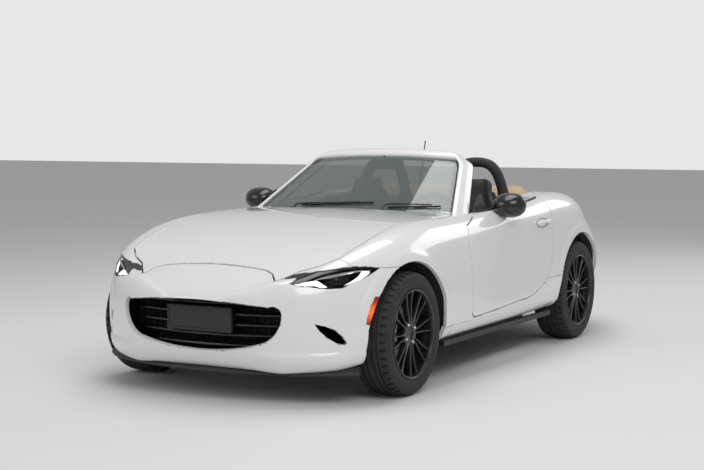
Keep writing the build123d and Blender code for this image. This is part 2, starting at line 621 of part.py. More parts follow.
with BuildPart() as front_bulkhead:
    box(FIREWALL, CABIN_Y, (FLOOR_Z, SHELF_Z[1]))
    box((SHELF_X, FIREWALL[1]), CABIN_Y, SHELF_Z)
    box((SHELF_X, SHELF_X + 14), CABIN_Y, (SHELF_Z[0], 789.7))
    both_sides((HOOD_HINGE[0] - 12, HOOD_HINGE[0] + 12), HOOD_POST_Y, (SHELF_Z[1], HOOD_HINGE[1] + 11))
    both_sides((600, 630), POST_Y, (302, 700))
    box((0, 1000), (-TUNNEL_HALF + TUNNEL_WALL, TUNNEL_HALF - TUNNEL_WALL),
        (FLOOR_Z - 1, TUNNEL_TOP - TUNNEL_WALL), Mode.SUBTRACT)
    add(lining_form, mode=Mode.INTERSECT)
    for side in (1, -1):
        rod((HOOD_HINGE[0], side * 560, HOOD_HINGE[1]), (HOOD_HINGE[0], side * 620, HOOD_HINGE[1]),
            HINGE_PIN + PIN_CLEAR, Mode.SUBTRACT)
finish(front_bulkhead, "front_bulkhead")

with BuildPart() as rear_bulkhead:
    box(REAR_WALL, CABIN_Y, (FLOOR_Z, REAR_SHELF_Z[0]))
    box((REAR_WALL[0] - 46, REAR_WALL[1]), CABIN_Y, REAR_SHELF_Z)
    both_sides((REAR_WALL[0], REAR_WALL[1] + 34), POST_Y, (434, 800))
    box((-1000, 0), (-TUNNEL_HALF + TUNNEL_WALL, TUNNEL_HALF - TUNNEL_WALL),
        (FLOOR_Z - 1, TUNNEL_TOP - TUNNEL_WALL), Mode.SUBTRACT)
    add(lining_form, mode=Mode.INTERSECT)
finish(rear_bulkhead, "rear_bulkhead")

with BuildPart() as frame_rails:
    both_sides((FIREWALL[1] + SEAT_GAP, 1700), RAIL_Y, (300, 400))
    box((1690, 1760), (-700, 700), (400, 460))
    add(lining_form, mode=Mode.INTERSECT)
    both_sides((-1700, REAR_WALL[0] - SEAT_GAP), RAIL_Y, (330, 420))
    box((-1790, -1690), (-600, 600), CROSSMEMBER_Z)
    box((-1700, -1240), (-RAIL_Y[1], RAIL_Y[1]), (400, 412))
finish(frame_rails, "frame_rails")

with BuildPart() as wheel_liners:
    for axle_x, radius in ((FRONT_AXLE_X, FRONT_LINER_R), (REAR_AXLE_X, REAR_LINER_R)):
        with BuildSketch(Plane.XZ.offset(-LINER_INNER_Y + LINER_WALL)) as arch:
            with Locations((axle_x, TYRE_RADIUS)):
                Circle(radius + LINER_WALL)
                Rectangle(1000, 500, align=(Align.CENTER, Align.MAX), mode=Mode.SUBTRACT)
        extrude(arch.sketch, amount=-(860 - LINER_INNER_Y))
        with BuildSketch(Plane.XZ.offset(-LINER_INNER_Y)) as hollow:
            with Locations((axle_x, TYRE_RADIUS)):
                Circle(radius)
        extrude(hollow.sketch, amount=-600, mode=Mode.SUBTRACT)
        with Locations((axle_x, LINER_INNER_Y - LINER_WALL / 2, TYRE_RADIUS)):
            Cylinder(150, 60, rotation=(90, 0, 0), mode=Mode.SUBTRACT)
    mirror(about=Plane.XZ)
    add(lining_form, mode=Mode.INTERSECT)
finish(wheel_liners, "wheel_liners")

with BuildPart() as engine:
    box((690, 1240), (-170, 170), (250, 700))
finish(engine, "engine")

with BuildPart() as gearbox_and_propshaft:
    rod((689.7, 0, 292), (100, 0, 292), 84)
    rod((100, 0, 292), (-900, 0, 292), 34)
    rod((-900, 0, 292), (-1180, 0, 292), 84)
finish(gearbox_and_propshaft, "gearbox_and_propshaft")

with BuildPart() as exhaust:
    for start, end in zip(EXHAUST_ROUTE, EXHAUST_ROUTE[1:]):
        rod(start, end, EXHAUST_RADIUS)
        with Locations(end):
            Sphere(EXHAUST_RADIUS)
    box((-1780, -1500), (-420, 60), (210, 322))
    for y in HANGER_YS:
        box((-1764, -1738), (y - 12, y + 12), (320, CROSSMEMBER_Z[0] - SEAT_GAP))
    for y in TIP_YS:
        rod((-1779, y, TIP_Z), (-1915, y, TIP_Z), TIP_RADIUS)
finish(exhaust, "exhaust")

# ---------------------------------------------------------------- cabin
with BuildPart() as dashboard:
    with BuildSketch(Plane.XZ) as profile:
        with BuildLine():
            Polyline((379.7, 640), (379.7, 789.7), (239, 789.7), (150, 846), (70, 838), (40, 780),
                     (90, 700), (110, 620),
                     (379.7, 620), (379.7, 640))
        make_face()
    extrude(profile.sketch, amount=639, both=True)
    add(lining_form, mode=Mode.INTERSECT)
    rod(STEERING_AT, Vector(*STEERING_AT) + Vector(*STEERING_AXIS) * 140, COLUMN_RADIUS + SEAT_GAP,
        Mode.SUBTRACT)
finish(dashboard, "dashboard")

with BuildPart() as centre_console:
    box((-560, 60), (-105, 105), (400.3, 500))
    box((20, 80), (-105, 105), (400.3, 618))
finish(centre_console, "centre_console")

for side, word in ((1, "left"), (-1, "right")):
    with BuildPart() as seat:
        middle = side * 375
        with BuildSketch(Plane.XZ.offset(-middle + 218)) as shape:
            with BuildLine():
                Polyline((120, 300), (130, 400), (-330, 370), (-470, 880), (-500, 1010), (-570, 1020),
                         (-590, 880),
                         (-470, 300), close=True)
            make_face()
            fillet(shape.vertices(), 28)
        extrude(shape.sketch, amount=-436)
        box((-500, 80), (middle - 200, middle - 160), (FLOOR_Z + FLOOR_THICK + SEAT_GAP, 320))
        box((-500, 80), (middle + 160, middle + 200), (FLOOR_Z + FLOOR_THICK + SEAT_GAP, 320))
    finish(seat, f"seat_{word}")

with BuildPart() as roll_hoops:
    for side in (1, -1):
        with BuildLine() as path:
            FilletPolyline((-676, side * 482, 820), (-650, side * 404, 1112), (-650, side * 236, 1112),
                           (-676, side * 186, 820), radius=70)
        with BuildSketch(Plane(origin=path.line @ 0, z_dir=path.line % 0)) as tube:
            Circle(24)
        sweep(tube.sketch, path=path.line)
    box((-760, -600), (-600, 600), (700, REAR_SHELF_Z[1] + SEAT_GAP), Mode.SUBTRACT)
finish(roll_hoops, "roll_hoops")

with BuildPart() as top_well:
    cut_plan(mirror_outline([(-654.3, 600), (-1150, 556), (-1270, 470), (-1270, 0)]), 700, 712, Mode.ADD)
    add(lining_form, mode=Mode.INTERSECT)
finish(top_well, "top_well")

with BuildPart() as soft_top:
    with BuildSketch(Plane.XZ) as profile:
        with BuildLine():
            Polyline((-760, 712.3), (-760, 900), (-880, 955), (-1080, 968), (-1220, 940), (-1262, 880),
                     (-1262, 712.3),
                     close=True)
        make_face()
    extrude(profile.sketch, amount=580, both=True)
    cut_plan(mirror_outline([(-712, 586), (-1142, 546), (-1270, 456), (-1270, 0)]), 700, 1100)
finish(soft_top, "soft_top")

with BuildPart() as antenna:
    rod((-1540, -520, 860), (-1680, -540, 1236), 4)
    add(outer_form, mode=Mode.SUBTRACT)
finish(antenna, "antenna")

with BuildPart() as interior_mirror:
    with Locations((-50, 0, 1110)):
        Box(26, 230, 62)
    rod((-44, 0, 1112), (-42, 0, 1165), 8)
    add(screen_slab(FRAME_THICK + 2 * SEAT_GAP, 652, 492, 0.93 - 0.002, 1.06), mode=Mode.SUBTRACT)
finish(interior_mirror, "interior_mirror")

for side, word in ((1, "left"), (-1, "right")):
    with BuildPart() as mirror_case:
        with BuildSketch(Plane(origin=(MIRROR_AT[0] - 45, side * MIRROR_AT[1], MIRROR_AT[2]),
                               z_dir=(1, 0, 0))) as base:
            Ellipse(60, 88)
        with BuildSketch(Plane(origin=(MIRROR_AT[0] + 45, side * (MIRROR_AT[1] - 4), MIRROR_AT[2] - 4),
                               z_dir=(1, 0, 0))) as tip:
            Ellipse(36, 56)
        loft([base.sketch, tip.sketch])
        rod((MIRROR_AT[0] + 10, side * (MIRROR_AT[1] - 10), MIRROR_AT[2] - 30), (110, side * 740, 780), 17)
        add(outer_form, mode=Mode.SUBTRACT)
    finish(mirror_case, f"mirror_{word}")


with BuildPart(Plane(origin=STEERING_AT, z_dir=STEERING_AXIS)) as steering_wheel:
    Torus(172, 14)
    with Locations((0, 0, 12)):
        Cylinder(48, 40)
    for turn in (0, 90, 180):
        with Locations(Location((0, 0, 0), (0, 0, turn))):
            with Locations((105, 0, 6)):
                Box(130, 26, 10)
    with Locations((0, 0, 50)):
        Cylinder(COLUMN_RADIUS, 60)
finish(steering_wheel, "steering_wheel")

# ---------------------------------------------------------------- wheels
def wheel_plane(axle_x, y):
    """Outward-facing plane of a wheel at y."""
    return Plane(origin=(axle_x, y, TYRE_RADIUS), x_dir=(1, 0, 0), z_dir=(0, 1 if y > 0 else -1, 0))


def build_tyre(axle_x, y):
    half = TYRE_WIDTH / 2
    bead = RIM_WIDTH / 2 - 10
    with BuildPart() as tyre:
        with BuildSketch(Plane.XY) as profile:
            with BuildLine():
                ThreePointArc((-half + 20, TYRE_RADIUS - 4), (0, TYRE_RADIUS), (half - 20, TYRE_RADIUS - 4))
                ThreePointArc((half - 20, TYRE_RADIUS - 4), (half, TYRE_RADIUS - 42),
                              (bead - 4, RIM_RADIUS + SEAT_GAP))
                Line((bead - 4, RIM_RADIUS + SEAT_GAP), (-bead + 4, RIM_RADIUS + SEAT_GAP))
                ThreePointArc((-bead + 4, RIM_RADIUS + SEAT_GAP), (-half, TYRE_RADIUS - 42),
                              (-half + 20, TYRE_RADIUS - 4))
            make_face()
        revolve(axis=Axis.X)
    return tyre.part.rotate(Axis.Z, 90).moved(Location((axle_x, y, TYRE_RADIUS)))


def build_rim(axle_x, y):
    """Rim, spokes, hub and brake disc, which turn as one."""
    bead = RIM_WIDTH / 2
    with BuildPart() as rim:
        with BuildSketch(Plane.XZ) as profile:
            with BuildLine():
                Polyline((RIM_RADIUS, -bead + 8), (RIM_RADIUS, bead - 8), (RIM_RADIUS + FLANGE, bead - 6),
                         (RIM_RADIUS + FLANGE, bead), (RIM_RADIUS - 4, bead), (RIM_RADIUS - BARREL_WALL,
                                                                               bead - 14),
                         (RIM_RADIUS - BARREL_WALL, -bead), (RIM_RADIUS + FLANGE, -bead),
                         (RIM_RADIUS + FLANGE, -bead + 6), close=True)
            make_face()
        revolve(axis=Axis.Z)
        with BuildSketch(Plane.XY.offset(SPOKE_Z)) as star:
            with PolarLocations(0, SPOKE_PAIRS):
                for turn in (1, -1):
                    with BuildLine():
                        Polyline((30, turn * 2), (62, turn * 4), (RIM_RADIUS - 4, turn * 26),
                                 (RIM_RADIUS - 4, turn * 37), (58, turn * 19), (30, turn * 14), close=True)
                    make_face()
            Circle(62)
        extrude(star.sketch, amount=24)
        with Locations((0, 0, SPOKE_Z - 30)):
            Cylinder(HUB_RADIUS + 22, 62)
        with Locations((0, 0, DISC_Z)):
            Cylinder(DISC_RADIUS, DISC_THICK)
        with Locations((0, 0, DISC_Z + 30)):
            Cylinder(76, 60)
    part = rim.part
    place = wheel_plane(axle_x, y)
    return place.location * part


for side, word in ((1, "left"), (-1, "right")):
    for axle_x, track, end in ((FRONT_AXLE_X, FRONT_TRACK, "front"), (REAR_AXLE_X, REAR_TRACK, "rear")):
        y = side * track / 2
        for piece, kind in ((build_tyre(axle_x, y), "tyre"), (build_rim(axle_x, y), "rim")):
            piece.label = f"{kind}_{end}_{word}"
            export_step(piece, f"parts/{kind}_{end}_{word}.step")

# ---------------------------------------------------------------- running gear


def disc_inner_y(track):
    """The inboard face of the brake disc, less the seat gap."""
    return track / 2 + DISC_Z - DISC_THICK / 2 - SEAT_GAP


def build_caliper(side, axle_x, track):
    """A caliper astride the edge of the disc, behind the axle."""
    inner = disc_inner_y(track)
    with BuildPart() as caliper:
        box((axle_x - CALIPER_TO, axle_x - CALIPER_FROM), (inner - 30, inner + DISC_THICK + 34),
            (TYRE_RADIUS - CALIPER_HALF, TYRE_RADIUS + CALIPER_HALF))
        with Locations((axle_x, inner + DISC_THICK / 2, TYRE_RADIUS)):
            Cylinder(DISC_RADIUS + 3, DISC_THICK + 6, rotation=(90, 0, 0), mode=Mode.SUBTRACT)
        with Locations((axle_x, inner + DISC_THICK + 30, TYRE_RADIUS)):
            Cylinder(82, 80, rotation=(90, 0, 0), mode=Mode.SUBTRACT)
        fillet(caliper.edges().filter_by(Axis.Y).group_by(Axis.X)[0], 20)
    return caliper.part if side > 0 else caliper.part.mirror(Plane.XZ)


for side, word in ((1, "left"), (-1, "right")):
    inner = disc_inner_y(FRONT_TRACK)
    with BuildPart() as knuckle:
        rod((FRONT_AXLE_X, side * 660, TYRE_RADIUS), (FRONT_AXLE_X, side * inner, TYRE_RADIUS), 44)
        rod((FRONT_AXLE_X, side * STEER_AXIS_Y, BALL_LOW_Z + 15),
            (FRONT_AXLE_X, side * STEER_AXIS_Y, BALL_HIGH_Z - 15),
            17)
        rod((FRONT_AXLE_X - 100, side * 692, TYRE_RADIUS), (FRONT_AXLE_X, side * 692, TYRE_RADIUS), 20)
        rod((FRONT_AXLE_X, side * 676, 262), (FRONT_AXLE_X - 110, side * 650, 262), 13)
        add(build_caliper(side, FRONT_AXLE_X, FRONT_TRACK))
    finish(knuckle, f"knuckle_front_{word}")

with BuildPart() as front_suspension:
    box((FRONT_AXLE_X - 130, FRONT_AXLE_X + 130), (-340, 340), (180, 230))
    both_sides((FRONT_AXLE_X - 70, FRONT_AXLE_X + 70), (334, 412), (180, 299.7))
    for side in (1, -1):
        for fore in (1, -1):
            rod((FRONT_AXLE_X + fore * 110, side * 330, 200), (FRONT_AXLE_X, side * STEER_AXIS_Y,
                                                               BALL_LOW_Z), 14)
            rod((FRONT_AXLE_X + fore * 60, side * 440, 420), (FRONT_AXLE_X, side * STEER_AXIS_Y,
                                                              BALL_HIGH_Z), 14)
        rod((FRONT_AXLE_X, side * 540, 200), (FRONT_AXLE_X, side * 530, 686), 34)
finish(front_suspension, "front_suspension")

with BuildPart() as rear_suspension:
    box((REAR_AXLE_X - 120, REAR_AXLE_X + 120), (-330, 330), (170, 206))
    for side in (1, -1):
        for fore in (1, -1):
            rod((REAR_AXLE_X + fore * 110, side * 320, 190), (REAR_AXLE_X, side * 690, 200), 14)
            rod((REAR_AXLE_X + fore * 60, side * 418, 400), (REAR_AXLE_X, side * 690, 420), 12)
        rod((REAR_AXLE_X, side * 655, TYRE_RADIUS), (REAR_AXLE_X, side * disc_inner_y(REAR_TRACK),
                                                     TYRE_RADIUS), 46)
        rod((REAR_AXLE_X, side * 685, 200), (REAR_AXLE_X, side * 685, 420), 18)
        rod((REAR_AXLE_X - 100, side * 697, TYRE_RADIUS), (REAR_AXLE_X, side * 697, TYRE_RADIUS), 20)
        add(build_caliper(side, REAR_AXLE_X, REAR_TRACK))
        rod((REAR_AXLE_X, side * 84, TYRE_RADIUS), (REAR_AXLE_X, side * 660, TYRE_RADIUS), 16)
        rod((REAR_AXLE_X - 30, side * 550, 200), (REAR_AXLE_X - 30, side * 540, 658), 30)
    both_sides((REAR_AXLE_X - 90, REAR_AXLE_X + 90), (334, 412), (170, 329.7))
finish(rear_suspension, "rear_suspension")
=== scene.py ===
"""Finish of a two-seat roadster with its fabric top folded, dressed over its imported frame.

Frame: origin on the ground under the middle of the car, +X to the nose, +Y to the car's
left, +Z up. The sizes in the tables are millimetres, and MM turns them into metres.
"""
import json
import math

import bmesh
import bpy
import numpy as np
from bpy.props import FloatProperty, FloatVectorProperty, IntProperty, PointerProperty
from mathutils import Matrix, Vector
from mathutils.bvhtree import BVHTree

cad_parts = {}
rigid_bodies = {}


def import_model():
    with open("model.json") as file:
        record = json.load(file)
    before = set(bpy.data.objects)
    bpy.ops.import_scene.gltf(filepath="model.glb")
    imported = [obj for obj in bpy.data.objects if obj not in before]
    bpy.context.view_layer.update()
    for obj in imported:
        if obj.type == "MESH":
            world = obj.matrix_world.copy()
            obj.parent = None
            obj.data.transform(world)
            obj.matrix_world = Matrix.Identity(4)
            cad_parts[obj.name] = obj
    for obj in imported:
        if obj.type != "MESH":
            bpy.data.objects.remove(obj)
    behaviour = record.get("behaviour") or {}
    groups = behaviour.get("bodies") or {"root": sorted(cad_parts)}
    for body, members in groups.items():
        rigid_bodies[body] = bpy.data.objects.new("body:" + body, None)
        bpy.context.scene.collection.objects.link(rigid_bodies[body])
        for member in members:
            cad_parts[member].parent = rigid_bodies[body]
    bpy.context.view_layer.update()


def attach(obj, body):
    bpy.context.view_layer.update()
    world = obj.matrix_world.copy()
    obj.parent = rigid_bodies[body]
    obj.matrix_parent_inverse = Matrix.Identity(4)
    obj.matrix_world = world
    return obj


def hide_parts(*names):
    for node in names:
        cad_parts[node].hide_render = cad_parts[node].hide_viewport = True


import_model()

bl_info = {
    "name": "Roadster finish",
    "version": (1, 0, 0),
    "blender": (4, 5, 0),
    "location": "View3D > Sidebar > Roadster",
    "description": "Builds the painted panels, wheels, lamps and cabin of an open two-seater",
    "category": "Object",
}

MM = 0.001
MERGE = 1e-6                    # points closer than this, in metres, become one
STRAIGHT = 1e-9                 # three points this near one line have no arc
SIDES = ((1, "left"), (-1, "right"))

# ---------------------------------------------------------------- the body's own shape
# Half sections along the car, in mm: x, then y and z of the sill edge, of the side crease,
# of the flank, of the shoulder and of the ridge, then the height in the middle.
SECTIONS = (
    (1957, (130, 470), (175, 478), (190, 490), (180, 501), (130, 509), 514),
    (1930, (190, 380), (270, 400), (315, 455), (300, 505), (200, 538), 543),
    (1895, (240, 235), (345, 275), (410, 420), (390, 510), (260, 558), 571),
    (1850, (330, 172), (420, 215), (500, 420), (480, 530), (340, 585), 603),
    (1780, (510, 168), (570, 215), (607, 420), (580, 545), (440, 608), 637),
    (1680, (640, 170), (680, 220), (697, 420), (672, 576), (534, 656), 684),
    (1560, (740, 185), (775, 250), (790, 430), (749, 616), (604, 712), 732),
    (1400, (790, 205), (828, 280), (842, 470), (796, 662), (632, 763), 780),
    (1252, (803, 210), (842, 290), (858, 500), (815, 696), (645, 799), 812),
    (1000, (812, 215), (850, 298), (853, 520), (820, 721), (654, 836), 847),
    (700, (822, 220), (858, 308), (846, 540), (815, 735), (650, 850), 868),
    (400, (826, 222), (862, 314), (842, 540), (815, 750), (665, 853), 878),
    (0, (828, 222), (864, 328), (840, 540), (828, 765), (738, 866), 882),
    (-400, (830, 222), (866, 362), (850, 560), (842, 775), (745, 888), 892),
    (-760, (830, 225), (864, 400), (863, 560), (851, 788), (732, 923), 920),
    (-1058, (828, 235), (862, 400), (867, 560), (843, 792), (670, 920), 922),
    (-1350, (800, 250), (838, 400), (848, 560), (770, 746), (604, 892), 908),
    (-1560, (735, 262), (765, 400), (775, 550), (682, 734), (520, 872), 895),
    (-1720, (670, 275), (705, 400), (716, 550), (625, 700), (445, 852), 883),
    (-1840, (580, 300), (620, 400), (645, 530), (568, 680), (395, 815), 858),
    (-1910, (480, 340), (530, 420), (575, 520), (530, 620), (380, 690), 705),
    (-1957, (330, 460), (380, 490), (400, 530), (385, 570), (330, 600), 605),
)
SHOULDER_CROWN = 0.18
NOSE_TIP = 1.956               # x, in metres, of the flat face that closes the nose
COLUMNS = (6, 40, 16, 44)       # grid columns on each stretch of a half section
FLOOR_COLUMNS = 24              # and on the flat underside
ROWS = 330
SOFTEN = 5                      # passes that round the edges between the stretches
TAIL_ROWS = 8                   # rows that close the flat tail


def arc_points(a, m, b, count):
    """Points on the arc from a through m to b, without a."""
    ax, ay, bx, by, mx, my = *a, *b, *m
    d = 2 * (ax * (my - by) + mx * (by - ay) + bx * (ay - my))
    steps = range(1, count + 1)
    if abs(d) < STRAIGHT:
        return [(ax + (bx - ax) * i / count, ay + (by - ay) * i / count) for i in steps]
    aa, bb, mm = ax * ax + ay * ay, bx * bx + by * by, mx * mx + my * my
    cx = (aa * (my - by) + mm * (by - ay) + bb * (ay - my)) / d
    cy = (aa * (bx - mx) + mm * (ax - bx) + bb * (mx - ax)) / d
    radius = math.hypot(ax - cx, ay - cy)
    first = math.atan2(ay - cy, ax - cx)
    turn = (math.atan2(by - cy, bx - cx) - first) % math.tau
    middle = (math.atan2(my - cy, mx - cx) - first) % math.tau
    if middle > turn:
        turn -= math.tau
    angles = [first + turn * i / count for i in steps]
    return [(cx + radius * math.cos(t), cy + radius * math.sin(t)) for t in angles]


class BodyForm:
    """The car's outer form: half sections of lines and arcs, joined along the car by a spline."""

    def __init__(self):
        rows = [[x, *sill, *crease, *flank, *shoulder, *ridge, crown]
                for x, sill, crease, flank, shoulder, ridge, crown in SECTIONS]
        self.values = np.array(rows, float) * MM
        moves = np.diff(self.values, axis=0)
        steps = np.sqrt(moves[:, :1] ** 2 + moves[:, 1:11:2] ** 2 + moves[:, 2:11:2] ** 2).mean(axis=1)
        self.knots = np.concatenate([[0], np.cumsum(steps)])
        self.curves = self._second_derivatives()

    def _second_derivatives(self):
        """Second derivatives of a natural cubic spline through the sections."""
        t, v = self.knots, self.values
        count = len(t)
        gaps = np.diff(t)
        matrix, right = np.eye(count), np.zeros_like(v)
        for i in range(1, count - 1):
            matrix[i, i - 1:i + 2] = gaps[i - 1], 2 * (gaps[i - 1] + gaps[i]), gaps[i]
            right[i] = 6 * ((v[i + 1] - v[i]) / gaps[i] - (v[i] - v[i - 1]) / gaps[i - 1])
        return np.linalg.solve(matrix, right)

    def measures(self, t):
        """x and the eleven section sizes at t along the car."""
        i = int(min(max(np.searchsorted(self.knots, t) - 1, 0), len(self.knots) - 2))
        gap = self.knots[i + 1] - self.knots[i]
        a, b = (self.knots[i + 1] - t) / gap, (t - self.knots[i]) / gap
        return (a * self.values[i] + b * self.values[i + 1]
                + ((a ** 3 - a) * self.curves[i] + (b ** 3 - b) * self.curves[i + 1]) * gap ** 2 / 6)

    def section(self, t):
        """The whole section at t, from the left sill over the top to the right sill."""
        x, sy, sz, cy, cz, fy, fz, hy, hz, ry, rz, crown = self.measures(t)
        low = COLUMNS[0]
        half = [(sy, sz)]
        half += [(sy + (cy - sy) * i / low, sz + (cz - sz) * i / low) for i in range(1, low + 1)]
        half += arc_points((cy, cz), (fy, fz), (hy, hz), COLUMNS[1])
        middle = ((hy + ry) / 2 + (rz - hz) * SHOULDER_CROWN, (hz + rz) / 2 + (hy - ry) * SHOULDER_CROWN)
        half += arc_points((hy, hz), middle, (ry, rz), COLUMNS[2])
        half += arc_points((ry, rz), (0, crown), (-ry, rz), 2 * COLUMNS[3])[:COLUMNS[3]]
        line = half + [(-y, z) for y, z in reversed(half[:-1])]
        line += [(sy * (2 * i / FLOOR_COLUMNS - 1), sz) for i in range(1, FLOOR_COLUMNS)]
        line = np.array(line)
        for _ in range(SOFTEN):
            line = (np.roll(line, 1, 0) + 2 * line + np.roll(line, -1, 0)) / 4
        line = np.vstack([line, line[:1]])
        return np.column_stack([np.full(len(line), x), line])

    def grid(self):
        """Rows of points over the whole form, with the tail closed."""
        rows = [self.section(t) for t in np.linspace(0, self.knots[-1], ROWS)]
        tail = rows[-1]
        centre = np.array([tail[0, 0], 0, (tail[:, 2].min() + tail[:, 2].max()) / 2])
        rows += [centre + (tail - centre) * (1 - i / TAIL_ROWS) for i in range(1, TAIL_ROWS + 1)]
        return np.array(rows)


def face_up(bm):
    """Turn every face over if the highest one looks down."""
    if max(bm.faces, key=lambda f: f.calc_center_median().z).normal.z < 0:
        bmesh.ops.reverse_faces(bm, faces=bm.faces[:])


def body_skin():
    """The whole outer form as one fine surface, each point with its outward direction."""
    points = BodyForm().grid()
    rows, columns = points.shape[:2]
    bm = bmesh.new()
    bmesh.ops.create_grid(bm, x_segments=columns - 1, y_segments=rows - 1, size=0.5)
    floor_from = 1 - FLOOR_COLUMNS / (columns - 1)
    for f in bm.faces:
        f.material_index = int(f.calc_center_median().x + 0.5 > floor_from)
    for v in bm.verts:
        column, row = round((v.co.x + 0.5) * (columns - 1)), round((v.co.y + 0.5) * (rows - 1))
        v.co = points[row, column]
    bmesh.ops.remove_doubles(bm, verts=bm.verts[:], dist=MERGE)
    bmesh.ops.dissolve_degenerate(bm, dist=MERGE, edges=bm.edges[:])
    bm.normal_update()
    face_up(bm)
    tip = [e for e in bm.edges if e.is_boundary and min(v.co.x for v in e.verts) > NOSE_TIP]
    for cap in bmesh.ops.holes_fill(bm, edges=tip)["faces"]:
        cap.normal_update()
        if cap.normal.x < 0:
            cap.normal_flip()
    bm.normal_update()
    outward = bm.verts.layers.float_vector.new("outward")
    for v in bm.verts:
        v[outward] = v.normal
    return bm


# ---------------------------------------------------------------- outlines
def sides_of(points):
    """The pairs of neighbours round a closed outline."""
    return zip(points, points[1:] + points[:1])


def grown(points, gap):
    """A closed outline moved outwards by gap, with mitred corners."""
    area = sum(a[0] * b[1] - b[0] * a[1] for a, b in sides_of(points))
    side = 1 if area > 0 else -1
    out = []
    for i, here in enumerate(points):
        here = Vector(here)
        first = (here - Vector(points[i - 1])).normalized()
        second = (Vector(points[(i + 1) % len(points)]) - here).normalized()
        n1, n2 = Vector((first.y, -first.x)) * side, Vector((second.y, -second.x)) * side
        share = max(1 + n1.dot(n2), 0.35)
        out.append(tuple(here + (n1 + n2) * (gap / share)))
    return out


def both_halves(points):
    """A half outline in plan and its mirror image, as one closed outline."""
    return list(points) + [(x, -y) for x, y in reversed(points) if y]


def ring_outline(centre, wide, count=56, tall=None):
    """A circle as an outline, or an oval if tall is given too."""
    angles = [math.tau * i / count for i in range(count)]
    return [(centre[0] + wide * math.cos(t), centre[1] + (tall or wide) * math.sin(t)) for t in angles]


VIA = 1                         # marks a point that is the middle of an arc


def arcs_drawn(points, count=8, closed=True):
    """An outline in which every VIA point has become an arc through it."""
    out, i, last = [], 0, len(points) if closed else len(points) - 1
    if not closed:
        out.append(tuple(points[0]))
    while i < last:
        here, after = points[i], points[(i + 1) % len(points)]
        if len(after) == 3:
            out += arc_points(here, after[:2], points[(i + 2) % len(points)], count)
            i += 2
        else:
            out.append(tuple(after))
            i += 1
    return out


def inside(places, outline):
    """Which of the places (an array of pairs) lie inside a closed outline."""
    x, y = places[:, 0], places[:, 1]
    found = np.zeros(len(places), bool)
    for (ax, ay), (bx, by) in sides_of(outline):
        if ay != by:
            found ^= ((ay > y) != (by > y)) & (x < (bx - ax) * (y - ay) / (by - ay) + ax)
    return found


SIDE, PLAN, FRONT = (0, 2), (0, 1), (1, 2)      # the two axes that each view shows
ANY = (-9.0, 9.0)               # a stretch that holds the whole car
SEARCH = 0.05                   # how far from an outline faces are looked for, in metres


def drop_faces(bm, test):
    """Drop the faces that pass a test of the face and its middle."""
    bmesh.ops.delete(bm, geom=[f for f in bm.faces if test(f, f.calc_center_median())], context="FACES")


def crop(bm, x=ANY, y=ANY, z=ANY):
    """Drop the faces whose middle is outside a box, which saves time before a fine cut."""
    drop_faces(bm, lambda f, c: not (x[0] <= c.x <= x[1] and y[0] <= c.y <= y[1] and z[0] <= c.z <= z[1]))


def middles_of(faces, zone):
    """The middles of faces, and which of them lie in a zone."""
    middles = np.array([tuple(f.calc_center_median()) for f in faces])
    return middles, np.array([not zone or zone(Vector(c)) for c in middles], bool)


def trim(bm, outline, axes, keep=True, zone=None):
    """Cut a surface along a closed outline (mm) seen along one axis, and keep its inside or outside.
    zone, if given, says which faces may be touched by where their middles are."""
    i, j = axes
    points = [(a * MM, b * MM) for a, b in outline]
    faces = bm.faces[:]
    middles, allowed = middles_of(faces, zone)
    near = np.zeros(len(faces), bool)
    spans = [((min(a[0], b[0]), min(a[1], b[1])), (max(a[0], b[0]), max(a[1], b[1])))
             for a, b in sides_of(points)]
    for low, high in spans:
        near |= ((middles[:, i] > low[0] - SEARCH) & (middles[:, i] < high[0] + SEARCH)
                 & (middles[:, j] > low[1] - SEARCH) & (middles[:, j] < high[1] + SEARCH))
    pool = {faces[k] for k in np.flatnonzero(near & allowed)}
    for (a, b), (low, high) in zip(sides_of(points), spans):
        if math.hypot(b[0] - a[0], b[1] - a[1]) < MERGE:
            continue
        chosen = []
        for f in pool:
            us, vs = [v.co[i] for v in f.verts], [v.co[j] for v in f.verts]
            if min(us) <= high[0] and max(us) >= low[0] and min(vs) <= high[1] and max(vs) >= low[1]:
                chosen.append(f)
        if not chosen:
            continue
        edges, verts = {e for f in chosen for e in f.edges}, {v for f in chosen for v in f.verts}
        place, normal = Vector((0, 0, 0)), Vector((0, 0, 0))
        place[i], place[j] = a
        normal[i], normal[j] = b[1] - a[1], a[0] - b[0]
        pool.difference_update(chosen)
        cut = bmesh.ops.bisect_plane(bm, geom=chosen + list(edges) + list(verts), dist=MERGE, plane_co=place,
                                     plane_no=normal.normalized())
        pool.update(g for g in cut["geom"] if isinstance(g, bmesh.types.BMFace))
    faces = bm.faces[:]
    middles, allowed = middles_of(faces, zone)
    held = inside(middles[:, [i, j]], points) & allowed
    bmesh.ops.delete(bm, geom=[f for f, h in zip(faces, held) if h != keep], context="FACES")


RIM_MERGE = 1.2                 # rim points closer than this become one, in mm
RIM_PASSES = 2                  # passes that even out the directions round a rim


